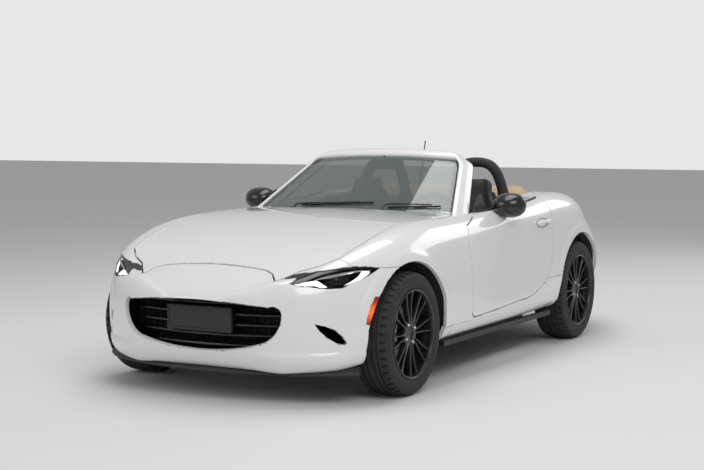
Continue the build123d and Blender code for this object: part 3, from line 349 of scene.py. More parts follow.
def turn_in(bm, radius, depth):
    """Round the rim of a panel and turn it inwards, as pressed metal is. Sizes in mm."""
    outward = bm.verts.layers.float_vector["outward"]
    bmesh.ops.remove_doubles(bm, verts=[v for v in bm.verts if v.is_boundary], dist=RIM_MERGE * MM)
    ring = [e for e in bm.edges if e.is_boundary]
    lean = {}
    for e in ring:
        face = e.link_faces[0]
        middle = (e.verts[0].co + e.verts[1].co) / 2
        along = e.verts[1].co - e.verts[0].co
        away = along.cross(face.normal).normalized()
        if away.dot(face.calc_center_median() - middle) > 0:
            away.negate()
        for v in e.verts:
            lean[v] = lean.get(v, Vector((0, 0, 0))) + away * along.length
    base = {}
    for v in lean:
        n = Vector(v[outward]).normalized()
        d = lean[v] - n * lean[v].dot(n)
        base[v] = (v.co.copy(), n, d.normalized() if d.length > 1e-9 else n.orthogonal())
    beside = {v: [e.other_vert(v) for e in v.link_edges if e.is_boundary] for v in base}
    for _ in range(RIM_PASSES):
        mean = {v: base[v][2] * 1.5 + sum((base[w][2] for w in beside[v]), Vector((0, 0, 0))) for v in base}
        base = {v: (co, n, mean[v].normalized() if mean[v].length > 0.3 else d)
                for v, (co, n, d) in base.items()}
    r = radius * MM
    for v, (co, n, d) in base.items():
        v.co = co - d * r
    current = {v: v for v in base}
    bend = math.sqrt(0.5)
    for out, down, tilt in ((bend, 1 - bend, bend), (1.0, 1.0, 1.0), (1.0, depth / radius, 1.0)):
        made = bmesh.ops.extrude_edge_only(bm, edges=ring)["geom"]
        ring = [g for g in made if isinstance(g, bmesh.types.BMEdge) and g.is_boundary]
        fresh = {g for g in made if isinstance(g, bmesh.types.BMVert)}
        links = {root: [e.other_vert(old) for e in old.link_edges] for root, old in current.items()}
        current = {root: new for root, others in links.items() for new in others if new in fresh}
        for root, new in current.items():
            co, n, d = base[root]
            new.co = co - d * r + d * r * out - n * r * down
            new[outward] = (n * (1 - tilt) + d * tilt).normalized()
    bm.normal_update()
    return bm


def turn_out(bm, height):
    """A wall from a sunk patch back out to the skin. Height in mm."""
    outward = bm.verts.layers.float_vector["outward"]
    rim = [e for e in bm.edges if e.is_boundary]
    for v in bmesh.ops.extrude_edge_only(bm, edges=rim)["geom"]:
        if isinstance(v, bmesh.types.BMVert):
            v.co += Vector(v[outward]) * height * MM
    face_out(bm)
    return bm


# ---------------------------------------------------------------- shader maths
class Value:
    """A socket of a material's nodes that takes part in arithmetic."""

    def __init__(self, shader, socket):
        self.shader, self.socket = shader, socket

    def _math(self, operation, *pair):
        return self.shader.node("ShaderNodeMath", {"operation": operation}, pair)

    def __add__(self, other):
        return self._math("ADD", self, other)

    def __sub__(self, other):
        return self._math("SUBTRACT", self, other)

    def __rsub__(self, other):
        return self._math("SUBTRACT", other, self)

    def __mul__(self, other):
        return self._math("MULTIPLY", self, other)

    def __pow__(self, other):
        return self._math("POWER", self, other)


class Shader:
    """One material, with its node tree and its Principled surface."""

    def __init__(self, name, **plain):
        self.material = bpy.data.materials.new(name)
        self.material.use_nodes = True
        self.tree = self.material.node_tree
        self.surface = self.tree.nodes["Principled BSDF"]
        self.place = Value(self, self.tree.nodes.new("ShaderNodeTexCoord").outputs["Object"])
        for socket, value in plain.items():
            self.set(socket.replace("_", " "), value)

    def _fill(self, socket, value):
        if isinstance(value, Value):
            self.tree.links.new(value.socket, socket)
        elif socket.type == "RGBA" and len(value) == 3:
            socket.default_value = (*value, 1)
        else:
            socket.default_value = value

    def node(self, kind, settings=None, sockets=None, output=0):
        """Add a node: its settings first, then its sockets by place or by name."""
        made = self.tree.nodes.new(kind)
        for key, value in (settings or {}).items():
            setattr(made, key, value)
        pairs = sockets.items() if isinstance(sockets, dict) else enumerate(sockets or ())
        for key, value in pairs:
            self._fill(made.inputs[key], value)
        return Value(self, made.outputs[output])

    def set(self, socket, value):
        """Set or link a socket of the surface."""
        self._fill(self.surface.inputs[socket], value)
        return self

    def noise(self, scale, detail=2.0, rough=0.5, place=None):
        """Noise over the object, or over another place."""
        sockets = {"Vector": place or self.place, "Scale": scale, "Detail": detail, "Roughness": rough}
        return self.node("ShaderNodeTexNoise", None, sockets, "Fac")

    def ribs(self, scale, place=None, axis="X"):
        """Even waves along one axis."""
        return self.node("ShaderNodeTexWave", {"bands_direction": axis},
                         {"Vector": place or self.place, "Scale": scale}, "Fac")

    def stretched(self, scale, turn=(0, 0, 0)):
        """Object coordinates turned, then scaled along each axis."""
        return self.node("ShaderNodeMapping", None, {"Vector": self.place, "Rotation": turn, "Scale": scale})

    def mix(self, share, low, high):
        """A colour between two colours."""
        return self.node("ShaderNodeMix", {"data_type": "RGBA"}, {0: share, 6: low, 7: high}, 2)

    def clamp(self, value, low, high, to_low=0.0, to_high=1.0):
        """Map a stretch of a value onto another, and stop at its ends."""
        return self.node("ShaderNodeMapRange", None, (value, low, high, to_low, to_high))

    def bump(self, height, strength, distance):
        """Feed a height to the surface as bump, which finishes the material."""
        sockets = {"Strength": strength, "Distance": distance, "Height": height}
        return self.set("Normal", self.node("ShaderNodeBump", None, sockets)).material


# ---------------------------------------------------------------- finishes
def pearl_paint():
    """White pearl paint: a soft base with fine mica under a clear coat."""
    look = bpy.context.scene.roadster_paint
    s = Shader("white_pearl_paint", Roughness=0.34, Coat_Weight=1.0, Coat_Roughness=0.025,
               Specular_IOR_Level=0.5)
    flake, cloud = s.noise(2600, 1, 0.4), s.noise(1.3)
    base = s.mix(s.clamp(cloud, 0.3, 0.7), look.colour, look.shade)
    s.set("Base Color", s.mix(s.clamp(flake, 0.55, 0.75, 0, look.mica), base, (1.0, 0.985, 0.95)))
    s.set("Roughness", s.clamp(flake, 0.3, 0.8, 0.3, 0.38))
    return s.bump(s.noise(900), 0.015, 0.0004)


def plastic(name, colour, rough, grain, depth):
    """Grained plastic or a coat, a little uneven in tone."""
    s = Shader(name, Roughness=rough)
    tone = s.noise(7, 3)
    s.set("Base Color", s.mix(tone, [c * 0.8 for c in colour], [min(c * 1.25, 1) for c in colour]))
    s.set("Roughness", s.clamp(tone, 0.3, 0.7, rough * 0.92, min(rough * 1.08, 1)))
    cells = s.node("ShaderNodeTexVoronoi", None, {"Vector": s.place, "Scale": grain}, "Distance")
    return s.bump(cells, 0.35, depth)


def gloss_black():
    """Black gloss plastic with the faintest waviness."""
    s = Shader("gloss_black", Base_Color=(0.006, 0.006, 0.007), Roughness=0.2, Coat_Weight=0.35,
               Coat_Roughness=0.05)
    s.set("Roughness", s.clamp(s.noise(30, 3), 0.3, 0.7, 0.16, 0.24))
    return s.bump(s.noise(60), 0.03, 0.0006)


def wheel_black():
    """Gloss black wheel paint with patches of dust."""
    s = Shader("wheel_black", Roughness=0.3, Coat_Weight=0.3, Coat_Roughness=0.12, Specular_IOR_Level=0.4)
    dust = s.noise(18, 4, 0.6)
    s.set("Base Color", s.mix(s.clamp(dust, 0.45, 0.8), (0.006, 0.006, 0.0065), (0.016, 0.015, 0.014)))
    s.set("Roughness", s.clamp(dust, 0.3, 0.8, 0.26, 0.42))
    return s.bump(s.noise(700), 0.04, 0.0003)


def tyre_rubber():
    """Tyre rubber with dust on it."""
    s = Shader("tyre_rubber", Roughness=0.78)
    dust = s.noise(22, 5, 0.65)
    s.set("Base Color", s.mix(s.clamp(dust, 0.4, 0.8), (0.013, 0.013, 0.0135), (0.042, 0.041, 0.038)))
    s.set("Roughness", s.clamp(dust, 0.3, 0.8, 0.66, 0.9))
    return s.bump(s.noise(500, 3), 0.3, 0.0004)


def metal(name, colour, rough, scale):
    """Bare metal with tool marks or grain stretched by scale."""
    s = Shader(name, Metallic=1.0, Roughness=rough)
    turn = s.noise(1, 3, 0.6, s.stretched(scale))
    s.set("Base Color", s.mix(turn, [c * 0.82 for c in colour], colour))
    s.set("Roughness", s.clamp(turn, 0.3, 0.7, rough * 0.75, rough * 1.25))
    return s.bump(turn, 0.12, 0.0003)


def glassy(name, tint, clear, edge=0.95, rough=0.03):
    """A thin glassy wall: its tint covers it by a fixed share, and more where it is seen on edge."""
    s = Shader(name, Base_Color=tint, Roughness=rough, Coat_Weight=1.0, Coat_Roughness=0.01)
    facing = s.node("ShaderNodeLayerWeight", None, {"Blend": 0.35}, "Facing")
    wave = s.clamp(s.noise(3, 1), 0.3, 0.7, -0.02, 0.02)
    s.set("Alpha", s.clamp(facing + wave, 0.25, 1.0, clear, edge))
    s.material.use_transparent_shadow = True
    return s.material


MARKER_LAMP_Z, MARKER_GLOW = 0.448, 0.055        # height of the side marker's lamp, and how far it glows


def side_marker():
    """Side marker: red at its ends and amber where its lamp glows."""
    s = Shader("marker_lens", Roughness=0.1, Coat_Weight=1.0, Coat_Roughness=0.02)
    height = s.node("ShaderNodeSeparateXYZ", None, (s.place,), "Z")
    away = s.node("ShaderNodeMath", {"operation": "ABSOLUTE"}, (height - MARKER_LAMP_Z,))
    near = 1 - s.clamp(away, 0.0, MARKER_GLOW)
    s.set("Base Color", s.mix(near, (0.26, 0.006, 0.003), (0.9, 0.12, 0.01)))
    s.set("Emission Color", s.mix(near ** 1.5, (0.06, 0.0, 0.0), (1.0, 0.13, 0.01)))
    s.set("Emission Strength", 0.9)
    return s.bump(s.ribs(60.0, axis="Z"), 0.4, 0.0008)


def lit_guide():
    """The lit light guides of the headlamps."""
    s = Shader("lit_guide", Base_Color=(1, 1, 1), Roughness=0.4)
    ribs = s.ribs(45.0, s.stretched((1, 1, 1), (0, 0, 0.6)))
    s.set("Emission Color", s.mix(s.clamp(ribs, 0, 1, 0.0, 0.35), (1, 1, 1), (0.8, 0.87, 1.0)))
    s.set("Emission Strength", 1.5)
    return s.bump(ribs, 0.2, 0.0005)


def leather():
    """Black leather with fine creases."""
    s = Shader("black_leather", Roughness=0.5, Specular_IOR_Level=0.45)
    cells = s.node("ShaderNodeTexVoronoi", {"feature": "DISTANCE_TO_EDGE"}, {"Vector": s.place, "Scale": 420.0})
    fold = s.noise(26, 4)
    s.set("Base Color", s.mix(fold, (0.016, 0.016, 0.017), (0.034, 0.033, 0.033)))
    s.set("Roughness", s.clamp(fold, 0.3, 0.7, 0.42, 0.6))
    return s.bump(s.clamp(cells, 0.0, 0.2) + fold * 0.6, 0.45, 0.0005)


def tan_cloth():
    """Tan woven top cloth."""
    s = Shader("tan_top_cloth", Roughness=0.9, Sheen_Weight=0.25, Sheen_Roughness=0.4)
    weave = [s.ribs(330.0, axis=axis) for axis in ("X", "Y", "Z")]
    threads = weave[0] * weave[1] + weave[2] * 0.5
    soil = s.noise(6, 4)
    base = s.mix(s.clamp(soil, 0.3, 0.7), (0.50, 0.355, 0.215), (0.60, 0.44, 0.28))
    s.set("Base Color", s.mix(s.clamp(threads, 0, 1.4, 0, 0.35), base, (0.35, 0.24, 0.14)))
    s.set("Roughness", s.clamp(soil, 0.3, 0.7, 0.85, 0.96))
    return s.bump(threads, 0.35, 0.0006)


def black_cloth():
    """Black carpet pile."""
    s = Shader("black_cloth", Roughness=0.95, Sheen_Weight=0.3, Sheen_Roughness=0.5)
    pile = s.noise(700, 3)
    s.set("Base Color", s.mix(pile, (0.012, 0.012, 0.013), (0.035, 0.035, 0.036)))
    return s.bump(pile, 0.6, 0.0012)


def mirror_glass():
    """Mirror glass."""
    s = Shader("mirror_glass", Base_Color=(0.8, 0.82, 0.83), Metallic=1.0, Roughness=0.03)
    return s.set("Roughness", s.clamp(s.noise(8), 0.3, 0.7, 0.02, 0.05)).material


# What a finish is called: the name of a slot, then what makes it.
FINISHES = {
    "paint": ("body_paint", pearl_paint),
    "trim": ("black_trim", plastic, "black_grained_trim", (0.018, 0.018, 0.019), 0.5, 900, 0.0002),
    "cabin_plastic": ("cabin_plastic", plastic, "cabin_plastic", (0.022, 0.022, 0.023), 0.62, 1300, 0.00015),
    "underbody": ("black_trim", plastic, "underbody_coat", (0.03, 0.03, 0.032), 0.7, 350, 0.0005),
    "gloss_black": ("black_trim", gloss_black),
    "wheel_black": ("wheel_black", wheel_black),
    "rubber": ("tyre", tyre_rubber),
    "steel": ("steel", metal, "machined_steel", (0.42, 0.42, 0.43), 0.32, (90, 4, 90)),
    "casting": ("steel", metal, "cast_aluminium", (0.30, 0.30, 0.31), 0.55, (60, 60, 60)),
    "exhaust": ("steel", metal, "exhaust_steel", (0.5, 0.48, 0.45), 0.25, (5, 60, 60)),
    "chrome": ("gloss_black", metal, "bright_plate", (0.75, 0.76, 0.78), 0.08, (20, 20, 20)),
    "screen_glass": ("screen_glass", glassy, "screen_glass", (0.105, 0.132, 0.127), 0.56),
    "lens": ("screen_glass", glassy, "clear_lens", (0.05, 0.055, 0.06), 0.05, 0.35),
    "red_lens": ("tail_lens", glassy, "red_lens", (0.30, 0.004, 0.005), 0.72, 1.0, 0.05),
    "marker": ("marker_lens", side_marker),
    "lamp_light": ("lamp_lens", lit_guide),
    "mirror_glass": ("screen_glass", mirror_glass),
    "leather": ("cabin_plastic", leather),
    "tan_cloth": ("top_fabric", tan_cloth),
    "black_cloth": ("cabin_plastic", black_cloth),
}
MATERIALS = {}


def finish_of(name):
    """The material of a finish, made once."""
    if name not in MATERIALS:
        _, maker, *settings = FINISHES[name]
        MATERIALS[name] = maker(*settings)
    return MATERIALS[name]


def use_finish(node, finish):
    """Give a node of the frame a finish of its own."""
    for obj in bpy.data.objects:
        if obj.type == "MESH" and (obj.name == node or obj.name.startswith(node + ".")):
            for slot in obj.material_slots:
                slot.material = finish_of(finish)


# ---------------------------------------------------------------- mesh tools
def mm(x, y, z):
    """A place given in millimetres."""
    return Vector((x, y, z)) * MM


def pointed(place, direction, axis="Z", up="Y"):
    """The move that takes a thing to a place, with its axis along a direction."""
    return Matrix.Translation(place) @ Vector(direction).to_track_quat(axis, up).to_matrix().to_4x4()


def face_out(bm):
    """Turn the faces of every closed form outwards."""
    bmesh.ops.recalc_face_normals(bm, faces=bm.faces[:])


def piece(name, bm, finish, nodes=(), body="chassis", soft=0, sharp=0, smooth=True):
    """Make a finished piece from a bmesh whose place is in its mesh. soft is its levels of subdivision,
    and sharp the angle over which its edges stay crisp."""
    outward = bm.verts.layers.float_vector.get("outward")
    normals = [tuple(v[outward]) for v in bm.verts] if outward else None
    if outward:
        bm.verts.layers.float_vector.remove(outward)
    else:
        face_out(bm)
    for f in bm.faces:
        f.material_index, f.smooth = 0, smooth
    bm.normal_update()
    for e in bm.edges if sharp else ():
        e.smooth = len(e.link_faces) != 2 or e.calc_face_angle(0) <= math.radians(sharp)
    mesh = bpy.data.meshes.new(name)
    bm.to_mesh(mesh)
    bm.free()
    if normals:
        mesh.normals_split_custom_set_from_vertices(normals)
    mesh.materials.append(finish_of(finish))
    obj = bpy.data.objects.new(name, mesh)
    bpy.context.scene.collection.objects.link(obj)
    if nodes:
        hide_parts(*nodes)
    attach(obj, body)
    if soft:
        rounding = obj.modifiers.new("soft", "SUBSURF")
        rounding.levels = rounding.render_levels = soft
    return obj


def ring_of(bm, points):
    """A closed ring of vertices and edges."""
    verts = [bm.verts.new(p) for p in points]
    return [bm.edges.new(pair) for pair in sides_of(verts)]


def skin_over(bm, rings, ends="capped"):
    """Bridge rings in a row, whose ends are capped, open, or joined to each other."""
    made = [ring_of(bm, points) for points in rings]
    for a, b in zip(made, made[1:] + (made[:1] if ends == "joined" else [])):
        bmesh.ops.bridge_loops(bm, edges=a + b)
    if ends == "capped":
        for end in (made[0], made[-1]):
            bmesh.ops.contextual_create(bm, geom=end)
    return bm


def skinned(rings, ends="capped"):
    """A new bmesh skinned over rings."""
    return skin_over(bmesh.new(), rings, ends)


def oval(centre, across, up, count=16, power=2.0):
    """Points of a rounded section round centre, from two half axes. power over 2 squares it."""
    out = []
    for i in range(count):
        c, s = math.cos(math.tau * i / count), math.sin(math.tau * i / count)
        u = math.copysign(abs(c) ** (2 / power), c)
        v = math.copysign(abs(s) ** (2 / power), s)
        out.append(Vector(centre) + Vector(across) * u + Vector(up) * v)
    return out


def disc_ring(radius, z, count):
    """A circle round the Z axis at height z."""
    return oval((0, 0, z), (radius, 0, 0), (0, radius, 0), count)


def tube(bm, points, radius, count=12, flat=1.0):
    """A tube along points. radius may be a list, and flat squashes it across."""
    points = [Vector(p) for p in points]
    radii = radius if isinstance(radius, (list, tuple)) else [radius] * len(points)
    rings, side = [], None
    for i, p in enumerate(points):
        along = (points[min(i + 1, len(points) - 1)] - points[max(i - 1, 0)]).normalized()
        side = side or along.orthogonal().normalized()
        side = (side - along * side.dot(along)).normalized()
        rings.append(oval(p, side * radii[i], along.cross(side) * radii[i] * flat, count))
    return skin_over(bm, rings)


def smooth_path(points, steps=8):
    """A Catmull-Rom curve through points."""
    points = [Vector(p) for p in points]
    out = []
    for i in range(len(points) - 1):
        a, b, c, d = points[max(i - 1, 0)], points[i], points[i + 1], points[min(i + 2, len(points) - 1)]
        for t in (k / steps for k in range(steps)):
            out.append(0.5 * ((2 * b) + (c - a) * t + (2 * a - 5 * b + 4 * c - d) * t * t
                              + (3 * b - a - 3 * c + d) * t ** 3))
    return out + [points[-1]]


def turned(profile, steps, axis="Z"):
    """Spin a closed profile of (radius, along) points into a full ring round an axis."""
    bm = bmesh.new()
    verts = [bm.verts.new((r, a, 0) if axis == "Y" else (r, 0, a)) for r, a in profile]
    edges = [bm.edges.new(pair) for pair in sides_of(verts)]
    vector = (0, 1, 0) if axis == "Y" else (0, 0, 1)
    bmesh.ops.spin(bm, geom=verts + edges, cent=(0, 0, 0), axis=vector, angle=math.tau, steps=steps,
                   use_merge=True)
    bmesh.ops.remove_doubles(bm, verts=bm.verts[:], dist=MERGE)
    face_out(bm)
    return bm


def block(bm, low, high, round_off=0.0, segments=2):
    """A box between two corners, with its edges rounded."""
    made = bmesh.ops.create_cube(bm, size=1)["verts"]
    low, high = Vector(low), Vector(high)
    for v in made:
        v.co = Vector([(low[i] + high[i]) / 2 + v.co[i] * (high[i] - low[i]) for i in range(3)])
    if round_off:
        edges = list({e for v in made for e in v.link_edges})
        bmesh.ops.bevel(bm, geom=edges, offset=round_off, affect="EDGES", segments=segments, profile=0.5,
                        material=-1)
    return bm


def added(bm, other, matrix=None):
    """Add another bmesh into this one, moved by a matrix."""
    mesh = bpy.data.meshes.new("part")
    other.to_mesh(mesh)
    other.free()
    if matrix is not None:
        mesh.transform(matrix)
    bm.from_mesh(mesh)
    bpy.data.meshes.remove(mesh)
    return bm




# ---------------------------------------------------------------- outlines of the panels, in mm
SHUT = 5.0
FRONT_AXLE, REAR_AXLE, WHEEL_Z = 1252.0, -1058.0, 308.0
# Side view (x, z)
DOOR_OUTLINE = arcs_drawn([
    (590, 335), (565, 530, VIA), (556, 728), (505, 800), (330, 845), (330, 1000), (-585, 1000),
    (-588, 700), (-562, 535, VIA), (-480, 425), (-300, 364, VIA), (-60, 340), (286, 322), (560, 315),
])
LAMP_OUTLINE = [
    (1822, 589), (1801, 580), (1786, 577), (1752, 568), (1730, 565), (1690, 566), (1671, 570), (1636, 589),
    (1576, 611), (1514, 637), (1480, 651), (1548, 660), (1588, 662), (1629, 660), (1704, 644), (1750, 624),
    (1795, 604),
]
FENDER_OUTLINE = [(340, 301), (1240, 301), (1240, 646), (1478, 652), (1548, 661), (1600, 663), (1600, 950),
                  (340, 950)]
BUMPER_OUTLINE = [(1240, 100), (2100, 100), (2100, 720), (1600, 720), (1600, 663), (1548, 661), (1478, 651),
                  (1240, 645)]
MARKER_OUTLINE = [(1520, 516), (1554, 520), (1582, 474), (1599, 424), (1605, 392), (1584, 386), (1550, 440)]
QUARTER_OUTLINE = [(-440, 433), (-1300, 433), (-1440, 640), (-2000, 640), (-2000, 1000), (-440, 1000)]
REAR_BUMPER_OUTLINE = [(-1200, 432), (-1300, 432), (-1440, 639), (-2000, 639), (-2000, 150), (-1200, 150)]
SILL_OUTLINE = [(-760, 150), (912, 150), (912, 300), (596, 300), (596, 345), (300, 432), (-760, 432)]
# Plan view (x, y)
HOOD_HALF = arcs_drawn([
    (1746, 300), (1765, 345), (1812, 388), (1716, 466), (1662, 545), (1587, 612),
    (1440, 636, VIA), (1288, 645), (1052, 638, VIA), (776, 629), (540, 632), (464, 632),
], closed=False)
HOOD_OUTLINE = (HOOD_HALF + arc_points(HOOD_HALF[-1], (530, 0), (464, -632), 24)[:-1]
                + [(x, -y) for x, y in reversed(HOOD_HALF)]
                + arc_points((1746, -300), (1736, 0), (1746, 300), 16)[:-1])
BOOT_OUTLINE = both_halves([(-1322, 0), (-1322, 440), (-1500, 425), (-1700, 385), (-1830, 350), (-1990, 335)])
HOOD_RELIEF = [(420, 548), (480, 548), (480, 641), (420, 641)]      # the bonnet's rear corner swings in it
WELL_OUTLINE = both_halves([(-700, 600), (-1150, 560), (-1266, 470), (-1278, 0)])
DECK_OUTLINE = both_halves([(-760, 640), (-1100, 600), (-1250, 540), (-1480, 460), (-1480, 0)])
# Front view (y, z)
GRILLE_OUTLINE = arcs_drawn([
    (-400, 478), (0, 506, VIA), (400, 478), (450, 466, VIA), (457, 440), (428, 354, VIA),
    (352, 300), (0, 252, VIA), (-352, 300), (-428, 354, VIA), (-457, 440), (-450, 466, VIA)], 14)
FOG_OUTLINE = [(592, 402), (629, 390), (662, 370), (684, 341), (700, 304), (694, 296), (670, 304), (638, 334),
               (611, 368)]
PLATE_RECESS = [(-430, 0), (430, 0), (430, 372), (-430, 372)]
TAIL_LAMP_AT, TAIL_LAMP_R = (500.0, 735.0), 62.0
LAMP_INNER = 0.382              # y where each headlamp starts, in metres
# The front opening is a circle cut off straight before and behind the tyre.
FRONT_ARCH = [(min(max(x, 912.0), 1594.0), z) for x, z in ring_outline((1240, WHEEL_Z), 358.0, 96)]
REAR_ARCH = ring_outline((REAR_AXLE, WHEEL_Z), 364.3, 96)


def sided(outline, side, axes=FRONT):
    """An outline moved to one side of the car, whose y comes first from the front and second in plan."""
    return [(side * a, b) if axes == FRONT else (a, side * b) for a, b in outline]


def span(side, low, high):
    """A stretch of y on one side of the car."""
    return (low, high) if side > 0 else (-high, -low)


def tail_ring(side, radius):
    """A circle round the middle of one tail lamp, seen from behind."""
    return ring_outline((side * TAIL_LAMP_AT[0], TAIL_LAMP_AT[1]), radius)


def ramp(value, low, high):
    """0 up to low and 1 from high on, straight between them."""
    return min(1, max(0, (value - low) / (high - low)))


def swell(bm):
    """The fine forms of the pressed body: the arch lips and the chin's ledge."""
    for v in bm.verts:
        x, y, z = v.co / MM
        push = 0.0
        for centre, radius in (((1240, WHEEL_Z), 358), ((REAR_AXLE, WHEEL_Z), 364)):
            d = math.hypot(x - centre[0], z - centre[1]) - radius
            if abs(y) > 600 and -30 < d < 70 and z > 190:
                push += 5.0 * ramp(d, 58, 42) * ramp(z, 190, 310)
        if x > 1560 and 150 < z < 300:
            push += 13.0 * (ramp(z, 266, 252) * ramp(abs(y), 300, 420)) * ramp(x, 1560, 1680)
        v.co += v.normal * push * MM


SKIN = []


def skin():
    """A fresh copy of the finished outer form."""
    if not SKIN:
        bm = body_skin()
        swell(bm)
        bm.normal_update()
        outward = bm.verts.layers.float_vector["outward"]
        for v in bm.verts:
            v[outward] = v.normal
        SKIN.append(bpy.data.meshes.new("skin"))
        bm.to_mesh(SKIN[0])
        bm.free()
    bm = bmesh.new()
    bm.from_mesh(SKIN[0])
    return bm


# ---------------------------------------------------------------- steps that shape a panel
def keep(outline, axes=SIDE):
    """Keep what lies inside an outline."""
    return lambda bm: trim(bm, outline, axes)


def cut(outline, axes=SIDE, zone=None):
    """Cut an outline out, where its zone allows."""
    return lambda bm: trim(bm, outline, axes, False, zone)


def drop(test):
    """Drop the faces that pass a test of the face and its middle."""
    return lambda bm: drop_faces(bm, test)


def slice_off(place, direction):
    """Cut straight through, and drop what is on the side that direction points to."""
    return lambda bm: bmesh.ops.bisect_plane(bm, geom=bm.verts[:] + bm.edges[:] + bm.faces[:], dist=MERGE,
                                             plane_co=place, plane_no=direction, clear_outer=True)


def sink(depth):
    """Move everything inwards by a depth in mm."""
    def move(bm):
        outward = bm.verts.layers.float_vector["outward"]
        for v in bm.verts:
            v.co -= Vector(v[outward]) * depth * MM
    return move


def patch(box, *steps):
    """The outer form inside a box, taken through its steps."""
    bm = skin()
    crop(bm, *box)
    for step in steps:
        step(bm)
    return bm


def panel(name, node, body, rim, box, *steps):
    """A painted panel whose rim is rounded by a radius and turned in by a depth (mm)."""
    piece(name, turn_in(patch(box, *steps), *rim), "paint", [node], body)


# ---------------------------------------------------------------- body panels
class ROADSTER_OT_hood(bpy.types.Operator):
    """Bonnet skin with a rolled edge"""
    bl_idname, bl_label = "roadster.hood", "Bonnet"

    def execute(self, context):
        panel("hood_skin", "hood", "bonnet", (2.0, 16.0), ((0.38, 1.85), ANY, (0.55, 1)),
              keep(HOOD_OUTLINE, PLAN))
        return {"FINISHED"}


class ROADSTER_OT_wings(bpy.types.Operator):
    """Front wings with their arch lips"""
    bl_idname, bl_label = "roadster.wings", "Front wings"

    def execute(self, context):
        relief = [cut(sided(HOOD_RELIEF, side, PLAN), PLAN, lambda c: c.z > 0.78) for side in (1, -1)]
        panel("wing_skins", "front_fenders", "chassis", (2.0, 18.0), ((0.30, 1.64), ANY, (0.26, 1)),
              drop(lambda f, c: abs(c.y) < 0.55), keep(FENDER_OUTLINE), cut(grown(HOOD_OUTLINE, SHUT), PLAN),
              cut(DOOR_OUTLINE), cut(grown(SILL_OUTLINE, 1)), cut(FRONT_ARCH), *relief)
        return {"FINISHED"}


class ROADSTER_OT_nose(bpy.types.Operator):
    """Nose panel with its grille mouth, fog slots and lamp openings"""
    bl_idname, bl_label = "roadster.nose", "Front bumper"

    def execute(self, context):
        fogs = [cut(sided(FOG_OUTLINE, side), FRONT, lambda c: c.x > 1.5) for side in (1, -1)]
        panel("nose_skin", "front_bumper", "chassis", (3.0, 20.0), ((1.2, 2.0), ANY, (0.1, 0.75)),
              drop(lambda f, c: f.material_index and c.x < 1.62), keep(BUMPER_OUTLINE),
              cut(grown(HOOD_OUTLINE, SHUT + 1), PLAN, lambda c: c.z > 0.5), cut(FRONT_ARCH),
              cut(LAMP_OUTLINE, SIDE, lambda c: abs(c.y) > LAMP_INNER and c.z > 0.5),
              cut(GRILLE_OUTLINE, FRONT, lambda c: c.x > 1.7), *fogs,
              cut(MARKER_OUTLINE, SIDE, lambda c: abs(c.y) > 0.56))
        return {"FINISHED"}


class ROADSTER_OT_quarters(bpy.types.Operator):
    """Rear quarter panels with their haunches"""
    bl_idname, bl_label = "roadster.quarters", "Rear quarters"

    def execute(self, context):
        holes = [cut(tail_ring(side, TAIL_LAMP_R + 1), FRONT, lambda c: c.x < -1.5) for side in (1, -1)]
        panel("quarter_skins", "rear_quarters", "chassis", (2.0, 20.0), ((-2.0, -0.42), ANY, (0.4, 1)),
              keep(QUARTER_OUTLINE), cut(DOOR_OUTLINE), cut(grown(BOOT_OUTLINE, SHUT), PLAN),
              cut(grown(DECK_OUTLINE, 1), PLAN), cut(REAR_ARCH), *holes,
              drop(lambda f, c: abs(c.y) < 0.60 and c.x > -0.76))
        return {"FINISHED"}


class ROADSTER_OT_tail(bpy.types.Operator):
    """Rear deck, boot lid and rear bumper skins"""
    bl_idname, bl_label = "roadster.tail", "Deck, boot lid and rear bumper"

    def execute(self, context):
        panel("deck_skin", "rear_deck", "chassis", (2.0, 18.0), ((-1.52, -0.74), (-0.66, 0.66), (0.7, 1)),
              keep(DECK_OUTLINE, PLAN), cut(WELL_OUTLINE, PLAN), cut(grown(BOOT_OUTLINE, SHUT), PLAN))
        panel("boot_skin", "boot_lid", "boot", (2.5, 18.0), ((-2.0, -1.3), (-0.46, 0.46), (0.6, 1)),
              keep(BOOT_OUTLINE, PLAN), slice_off((0, 0, 0.655), (0, 0, -1)))
        panel("rear_bumper_skin", "rear_bumper", "chassis", (2.5, 24.0), ((-2.0, -1.15), ANY, (0.1, 0.7)),
              drop(lambda f, c: f.material_index and c.x > -1.83), keep(REAR_BUMPER_OUTLINE), cut(REAR_ARCH),
              cut(PLATE_RECESS, FRONT, lambda c: c.x < -1.7))
        return {"FINISHED"}


class ROADSTER_OT_sills(bpy.types.Operator):
    """Painted sills"""
    bl_idname, bl_label = "roadster.sills", "Sills"

    def execute(self, context):
        panel("sill_skins", "sills", "chassis", (2.5, 24.0), ((-0.8, 0.95), ANY, (0.1, 0.5)),
              drop(lambda f, c: f.material_index), keep(SILL_OUTLINE), cut(DOOR_OUTLINE),
              cut(grown(DOOR_OUTLINE, 4), SIDE, lambda c: c.x > 0.45), cut(REAR_ARCH))
        return {"FINISHED"}


# Door card stations, in mm: x, then its lower and upper edge. The section is (share of its height, y).
CARD_STATIONS = ((-545, 470, 842), (-470, 420, 846), (-300, 372, 850), (0, 352, 846), (250, 340, 836),
                 (480, 336, 812), (545, 345, 720))
CARD_SECTION = ((0.0, 742), (0.0, 712), (0.22, 700), (0.45, 700), (0.56, 676), (0.63, 674), (0.68, 700),
                (0.90, 702), (0.97, 712), (1.0, 735))
CARD_Y = 700                    # the card's plain face, which the armrest stands out from
GRIP = [(-352, 845, 760), (-380, 862, 768), (-440, 868, 772), (-500, 866, 772), (-530, 848, 768)]
CUP_AT, CUP_WIDE, CUP_TALL = (-436, 764), 84, 27
CUP_DEPTH, CUP_PROUD = 0.006, 0.0012        # how deep the cup is, and how its rim stands proud, in metres


